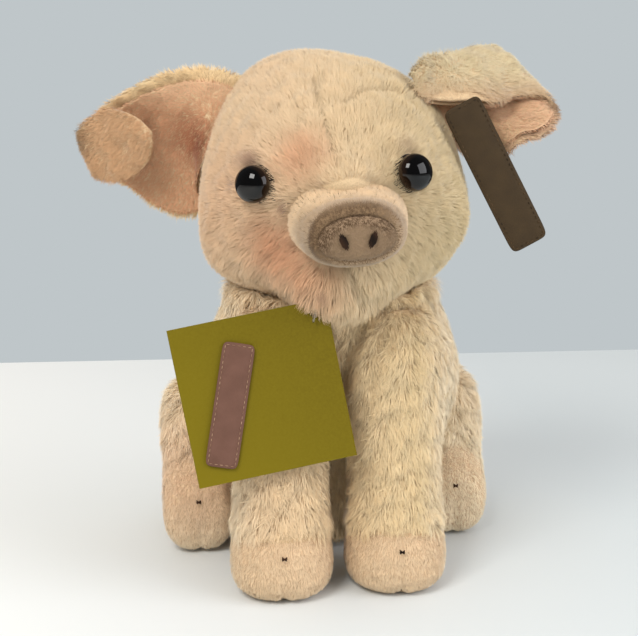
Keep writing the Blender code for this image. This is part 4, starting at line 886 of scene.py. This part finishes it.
def ear_rings(side, near, far, trim, rows=70, sides=44):
    """Rings across a folded ear between two depths behind its middle sheet, their sides and their border.

    The sheet runs a distance d from the root along l, round a bend of radius r where it folds, and on
    along l cos + f sin; across it a point lies at w, hollowed by cup (1 - w^2). The folded tip sinks back
    on the ear towards its own rim, and the root follows the head's ball, a little inside its pile.
    """
    sign = -1 if side == "left" else 1
    droop, sweep, twist, fold, start = EAR_POSES[side]
    droop, sweep, twist, fold = (math.radians(v) for v in (droop, sweep, twist, fold))
    out = HEAD_TURN @ np.array((sign * math.cos(math.radians(33)), 0, math.sin(math.radians(33))))
    root = HEAD_CENTRE + (46.5 + 1.3) * mm * out
    root_line = sign * unit(np.cross(out, (0.0, 1.0, 0.0)))
    length = np.array(
        (sign * math.cos(droop) * math.cos(sweep), math.sin(sweep), -math.sin(droop) * math.cos(sweep)))
    width = np.array((sign * math.sin(droop), 0, math.cos(droop)))
    front = -sign * unit(np.cross(width, length))
    width = width * math.cos(twist) + front * math.sin(twist)
    front = -sign * unit(np.cross(width, length))
    edges = curve_through(EAR_ROOTS[side] + EAR_EDGES + EAR_TIPS[side], 200)
    most = edges[-1, 0]
    distance = most * np.linspace(0, 1, rows) ** 0.9
    upper = np.interp(distance, edges[:, 0], edges[:, 1]) - trim
    lower = np.interp(distance, edges[:, 0], edges[:, 2]) + 0.4 * trim
    ease = ramp(distance / 13.2)[:, None]
    ease = ease * ease * (3 - 2 * ease)
    soft = 1 - (2 * np.clip(distance / most, 0.03, 0.985) - 1) ** 30
    soft = np.sqrt(np.clip(soft, 0.1, 1))[:, None]
    distance = np.clip(distance, 0, most - trim)[:, None]
    bend = EAR_FOLD * fold
    side_way = unit(root_line * (1 - ease) + width * ease)
    turned_by = np.clip(distance - start, 0, bend) / EAR_FOLD
    ahead = length * np.cos(turned_by) + front * np.sin(turned_by)
    facing = front * np.cos(turned_by) - length * np.sin(turned_by)
    facing = unit(facing - np.sum(facing * side_way, 1, keepdims=True) * side_way)
    past = np.clip(distance - start - bend, 0, None)
    middle = np.minimum(distance, start) * length + past * ahead
    middle = middle + EAR_FOLD * (np.sin(turned_by) * length + (1 - np.cos(turned_by)) * front)
    w = squared(np.cos(around(sides)), 0.9)
    thick = squared(np.sin(around(sides)), 0.6)
    place = (upper + lower)[:, None] / 2 + (upper - lower)[:, None] / 2 * w * soft
    hollow = EAR_CUP * np.sin(math.pi * ramp(distance / start)) * (1 - w**2)
    wave = 0.5 * np.sin(distance * 0.26 + 2.0 * w) * ramp(distance / 22)
    depth = (near + far) / 2 + (far - near) / 2 * thick * soft + hollow + wave
    pressed = 0.66 * ramp(0.4 - w) if side == "right" else 0.35 + 0.1 * w
    sunk = EAR_FOLD * (1 - np.cos(turned_by)) * pressed
    inward = ((place**2 / 93 + ROOT_DEPTH) * ramp(1 - distance / 14) ** 1.5)[..., None] * length
    points = middle[:, None] + place[..., None] * side_way[:, None]
    points = points - depth[..., None] * facing[:, None] - inward
    points = root + mm * (points - sunk[..., None] * front)
    away = points - HEAD_CENTRE
    reach = np.linalg.norm(away, axis=-1, keepdims=True)
    points = HEAD_CENTRE + away / reach * np.maximum(reach, EAR_REACH)
    border = np.broadcast_to(np.abs(w) > 0.62, points.shape[:2])
    return points, np.broadcast_to(thick, points.shape[:2]), border, root


def off_tag(p):
    """Pile is cut to a quarter of its length behind the ear tag's upper end."""
    return np.where(np.linalg.norm(p - TAG_TOP, axis=1) < 10 * mm, 0.25, 1.0)


def ear_tone(p, layer, side):
    """Cream rim and back; rosy tan inside, darkening to red-brown low in the pleat, partly rosy dye and
    partly painted shade in the crease; a sprayed brown edge at the tip.
    """
    if layer == "outer" and side == "left":
        colour = blend(EAR_CREAM, EAR_PEACH, ramp(2.5 * patch(p, (-74, -27, 145), 27)))
    elif layer == "outer":
        colour = blend(EAR_BUTTER, EAR_ROSE, ramp((172 * mm - p[:, 2:]) / (12 * mm)))
    elif side == "left":
        # Lower in the lining and in the pleat the colour darkens to red-brown: partly the lining's rosy
        # dye, partly painted shade in the crease.
        colour = blend(LINING_FAR, LINING_MID, np.clip((166 * mm - p[:, 2:]) / (14 * mm), 0, 0.55))
        colour = blend(colour, LINING_PLEAT_DYE_AND_SHADE, 0.95 * patch(p, (-48, -26, 148), 15))
    else:
        colour = np.broadcast_to(LINING_FAR, (len(p), 3))
    return blend(colour, BURNT, 0.75 * patch(p, *EAR_SPOTS[side]))


for side in ("left", "right"):
    for layer, near, far, trim, sign in (("outer", 0.2, 2.4, -0.6, 1), ("lining", -1.6, -0.1, 3.4, -1)):
        rings, thick, border, root = ear_rings(side, near, far, trim)
        ear = tube_piece(f"ear_{layer}_skin_{side}", rings, knit)
        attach(ear, f"ear_{side}")
        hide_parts(f"ear_{layer}_{side}")
        _, _, faces = mesh_arrays(ear)
        level = np.concatenate([thick.ravel(), (0.0, 0.0)])[faces].mean(1)
        fine = layer == "lining"
        bare = (np.concatenate([border.ravel(), (True, True)])[faces].mean(1) < 0.5) | fine
        ear_pile = grow_pile(
            f"ear_{layer}_pile_{side}", ear, f"ear_{side}", clipped if fine else plush,
            8.0 if fine else 6.5, 1.8 if fine else 3.1, 0.18, lambda p, n: unit(p - root) + (0, 0, -0.4),
            lambda p, n: ear_tone(p, layer, side), 41, trim=off_tag, over=(sign * level > -0.7) | ~bare,
            rise=0.6 if fine else 0.42, tuft=0.1 if fine else 0.2, dark=0.9, relief=0.15 if fine else 0.3)

# Forelegs and hind legs: stuffed tubes of pile sewn into the torso, each with a rounded hoof of clipped
# pile and one knot of brown thread on it. A row has the leg's place across and its toe's ahead, in mm.
LEGS = (("foreleg", "left", -19.5, -76.8), ("foreleg", "right", 19.5, -73.8),
        ("hindleg", "left", -47.5, -28.9), ("hindleg", "right", 47.5, -18.9))
KNOT_REACH = 0.9 * mm
KNOT_STARTS = np.array(((-1, 0, 0.8), (1, 0, 0.7), (-1.1, 0, 0)))
KNOT_ENDS = np.array(((1, 0, -0.8), (-1, 0, -0.7), (1.1, 0, 0)))
HOOF = dyed("#F0D5B0")
hoof_knit = backing_material("clipped_backing", "#EACAA4")


def hoof_tone(p, n):
    """Peach-cream clipped pile, paler far out to the sides as painted light."""
    base = blend(HOOF, SIDE_PAINTED_LIGHT, ramp((np.abs(p[:, :1]) - 32 * mm) / (9 * mm)))
    return blend(base, PINK, 0.45 * patch(p, (-50, -25, 25), 30))


def cleft_hoof(co, n, across, toe):
    """A shallow groove down the front of a hoof, below its knot."""
    line = np.exp(-((co[:, :1] - across * mm) / (1.3 * mm)) ** 2) * (co[:, 1:2] < toe * mm + 12 * mm)
    return co - 1.0 * mm * n * line * ramp((16 * mm - co[:, 2:]) / (10 * mm))


def full_leg(co, n):
    """Fuller legs: the hind thighs swell to meet the flanks, and the forelegs reach up under the chin."""
    high = co[:, 2:]
    if co[:, 1].max() > 0:
        return co + 4.0 * mm * n * ramp((high - 30 * mm) / (22 * mm))
    up = ramp((high - 58 * mm) / (28 * mm))
    grow = 1.9 * mm * ramp((high - 18 * mm) / (6 * mm)) - 1.0 * mm * ramp(1 - high / (18 * mm))
    return co + n * grow + np.array((0, -1.5, 8.0)) * mm * up**2


def past_seam(p, leg, across, toe):
    """How far a point lies past its hoof's seam, in mm: over it on a foreleg, behind it on a hind leg.

    A foreleg's seam rises 4 mm over the hoof's front: z = 21.5 + 4 (1 - (x / 14)^2).
    """
    if leg == "foreleg":
        return p[:, 2] / mm - 21.5 - 4 * ramp(1 - ((p[:, 0] / mm - across) / 14) ** 2)
    return p[:, 1] / mm - toe - 13.5


for leg, side, across, toe in LEGS:
    tag = f"{leg}_{side}"
    nodes = [f"{leg}_{piece}_{side}" for piece in ("cover", "filling", "hoof", "knot")]
    overlap = 0.8 if leg == "foreleg" else 1.5
    leg_skin = stuffed_skin(f"{leg}_skin_{side}", nodes[:3], knit, 0.0018, 1.8 * mm, full_leg)
    hoof_skin = stuffed_skin(
        f"{leg}_hoof_skin_{side}", (nodes[2], nodes[1]), hoof_knit, 0.0016, 0.7 * mm,
        lambda co, n: cleft_hoof(co, n, across, toe))
    for piece, replaced in ((leg_skin, nodes[:2]), (hoof_skin, nodes[2:3])):
        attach(piece, tag)
        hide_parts(*replaced)
    leg_pile = grow_pile(
        f"{leg}_pile_{side}", leg_skin, tag, plush, 5.2, 5.2, 0.21,
        lambda p, n: np.array((0.0, -0.1, -1.0)), body_tone, 51, rise=0.56,
        keep=lambda p, n: (past_seam(p, leg, across, toe) > -overlap) & (p[:, 2] > 0.8 * mm))
    hoof_pile = grow_pile(
        f"{leg}_hoof_pile_{side}", hoof_skin, tag, clipped, 7.0, 2.0, 0.18,
        lambda p, n: np.array((0.0, -0.2, -1.0)), hoof_tone, 52, rise=0.6, lay=0.65, tuft=0.12, wave=4.0,
        dark=0.92, relief=0.12,
        keep=lambda p, n: (past_seam(p, leg, across, toe) <= 0.5) & (p[:, 2] > 0.8 * mm))
    low, high = (np.array(corner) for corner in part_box(nodes[3]))
    middle = (low + high) / 2 + np.array((0, 0.2 * mm, 0))
    knot = thread_bars(
        f"{leg}_stitch_{side}", middle + KNOT_REACH * KNOT_STARTS, middle + KNOT_REACH * KNOT_ENDS,
        0.3 * mm, (0, -1, 0), 0.26 * mm, brown_thread)
    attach(knot, tag)
    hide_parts(nodes[3])

# Tail: a short stuffed curl of clipped pile, sewn to the rump.
tail_skin = stuffed_skin("tail_skin", ("tail",), knit, 0.0006, 0.5 * mm)
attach(tail_skin, "tail")
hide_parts("tail")
tail_pile = grow_pile(
    "tail_pile", tail_skin, "tail", clipped, 6.0, 1.6, 0.22, lambda p, n: np.array((0, 0, -1.0)), body_tone,
    61, rise=0.6)

# Hang tag: a folded olive card on a moulded nylon fastener, with a brown label stitched on its front.
# The fastener is a bar in front of the card's hole and a filament that goes back into the chest.
CARD_OUT = np.array((0, -0.98902, 0.14781))
HOLE = np.array((-8.7, -64.7, 95.5)) * mm
BAR_WAY = np.array((0.25, 0.143, 0.957))
card, tree, shader = new_material("coated_card")
place = object_place(tree)
fibre = add_node(tree, "TexNoise", {"Vector": place, "Scale": 1 / (0.7 * mm), "Detail": 3.0})
broad = add_node(tree, "TexNoise", {"Vector": place, "Scale": 1 / (40 * mm)})
axes = add_node(tree, "SeparateXYZ", {0: place})
# Painted shadow of the chin: the olive darkens towards the card's top and right, under the chin.
chin_shadow_slope = add_node(tree, "Math", {0: axes.outputs["X"], 1: axes.outputs["Z"]}, operation="ADD")
shade = add_node(tree, "MapRange", {0: chin_shadow_slope.outputs[0], 1: -5 * mm, 2: 85 * mm})
soft = add_node(tree, "Math", {0: broad.outputs[0], 1: 0.3}, operation="MULTIPLY")
tint = mixed(tree, soft.outputs[0], mixed(tree, shade.outputs[0], "#7C6E06", "#5C4C0A"), "#62560C")
speck = mixed(tree, fibre.outputs[0], tint, "#786A14")
flat = add_node(
    tree, "VectorMath", {0: add_node(tree, "TexCoord").outputs["Normal"], 1: tuple(CARD_OUT)},
    operation="DOT_PRODUCT")
facing = add_node(tree, "Math", {0: flat.outputs["Value"]}, operation="ABSOLUTE")
printed = add_node(tree, "Math", {0: facing.outputs[0], 1: 0.6}, operation="GREATER_THAN")
set_sockets(
    shader, {"Base Color": mixed(tree, printed.outputs[0], "#D9D3B4", speck),
    "Normal": raised(tree, fibre.outputs[0], 0.02 * mm, 0.4), "Roughness": 0.5, "Specular IOR Level": 0.12})
finish_node("hang_tag_card", card)
nylon = mottled(
    "clear_nylon", "TexNoise", {"Scale": 900.0}, "#E9E9E4", "#F6F6F2",
    {"Roughness": 0.15, "Transmission Weight": 0.92, "IOR": 1.53})
bar_middle = HOLE + 1.7 * mm * CARD_OUT
fastener = thread_bars(
    "tag_fastener", (bar_middle - 2.6 * mm * BAR_WAY, bar_middle),
    (bar_middle + 2.6 * mm * BAR_WAY, HOLE - 11 * mm * CARD_OUT), 0, (1, 0, 0), 0.42 * mm, nylon)
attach(fastener, "torso")
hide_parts("tag_pin")


def leather_finish(name, one, other):
    """Dyed split leather: 1 mm pebbles with darker furrows and a dull wax finish."""
    made, tree, shader = new_material(name)
    place = object_place(tree)
    pebble = add_node(
        tree, "TexVoronoi", {"Vector": place, "Scale": 1 / (0.9 * mm)}, feature="DISTANCE_TO_EDGE")
    dye = add_node(tree, "TexNoise", {"Vector": place, "Scale": 1 / (5 * mm), "Detail": 4.0})
    set_sockets(
        shader, {"Base Color": mixed(tree, dye.outputs[0], one, other), "Roughness": 0.7,
        "Normal": raised(tree, pebble.outputs["Distance"], 0.15 * mm, 0.5), "Specular IOR Level": 0.3})
    return made


def node_axes(node):
    """Middle, and the long, wide and thin directions with half sizes, of a flat node's points."""
    p, _ = solid_arrays(node)
    p = np.unique(np.round(p, 7), axis=0)
    middle = p.mean(0)
    _, _, ways = np.linalg.svd(p - middle, full_matrices=False)
    if ways[0][2] < 0:
        ways[0] = -ways[0]
    if ways[2][1] > 0:
        ways[2] = -ways[2]
    ways[1] = np.cross(ways[0], ways[2])
    return middle, ways, np.abs((p - middle) @ ways.T).max(0)


PLATE_EDGE = (0.5, -1.0), (0.94, -1.0), (0.99, -0.7), (1.0, 0.0), (0.99, 0.7), (0.94, 1.0), (0.5, 1.0)


def leather_plate(name, node, material, bow):
    """A flat strap with rounded corners and edges, bowed along its length: c + x w + y l + bow (y^2) t."""
    middle, (along, across, thin), (tall, wide, thick) = node_axes(node)
    c, s = squared(np.cos(around(96)), 0.28), squared(np.sin(around(96)), 0.10)
    rings = []
    for inset, level in PLATE_EDGE:
        x = inset * wide * c
        y = (tall - (1 - inset) * wide) * s
        lift = level * thick + bow * (y / tall) ** 2
        rings.append(middle + x[:, None] * across + y[:, None] * along + lift[:, None] * thin)
    return tube_piece(name, np.array(rings), material), (middle, along, across, thin, tall, wide, thick)


def edge_stitches(name, plate, inset, pitch, stitch, bow, material):
    """A row of short stitches a set way in from a strap's edges."""
    middle, along, across, thin, tall, wide, thick = plate
    x, y = wide - inset, tall - inset
    corners = np.array(((-x, -y), (x, -y), (x, y), (-x, y)))
    spots, ways = [], []
    for a, b in zip(corners, np.roll(corners, -1, 0)):
        span = np.linalg.norm(b - a)
        count = max(2, int(round(span / pitch)))
        spots.append(a + (b - a) * (np.arange(count) + 0.5)[:, None] / count)
        ways.append(np.broadcast_to((b - a) / span, (count, 2)))
    spots, ways = np.concatenate(spots), np.concatenate(ways)
    starts, ends = (middle + q[:, :1] * across + q[:, 1:] * along
                    + (thick + bow * (q[:, 1:] / tall) ** 2) * thin
                    for q in (spots - ways * stitch / 2, spots + ways * stitch / 2))
    return thread_bars(name, starts, ends, 0.12 * mm, thin, 0.13 * mm, material, 6, 5)


brown_leather = leather_finish("brown_leather", "#765346", "#5E4033")
tan_thread = thread_finish("tan_polyester_thread", "#8A6A55", "#A98A70")
label, label_plate = leather_plate("hang_tag_label_patch", "hang_tag_label", brown_leather, 0.0)
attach(label, "hang_tag")
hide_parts("hang_tag_label")
label_stitches = edge_stitches(
    "hang_tag_label_stitches", label_plate, 0.9 * mm, 1.7 * mm, 1.1 * mm, 0.0, tan_thread)
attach(label_stitches, "hang_tag")

# Ear tag: a strap of dark leather with a stitched border, sewn into the right ear's root seam by its
# upper end and bowed a little along its length.
TAG_BOW = 0.4 * mm
dark_leather = leather_finish("dark_leather", "#46351C", "#342613")
dark_thread = thread_finish("dark_polyester_thread", "#2C2115", "#5A452C")
tag, tag_plate = leather_plate("ear_tag_strap", "ear_tag", dark_leather, TAG_BOW)
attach(tag, "ear_tag")
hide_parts("ear_tag")
tag_stitches = edge_stitches(
    "ear_tag_stitches", tag_plate, 1.1 * mm, 1.8 * mm, 1.1 * mm, TAG_BOW, dark_thread)
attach(tag_stitches, "ear_tag")

low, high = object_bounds()
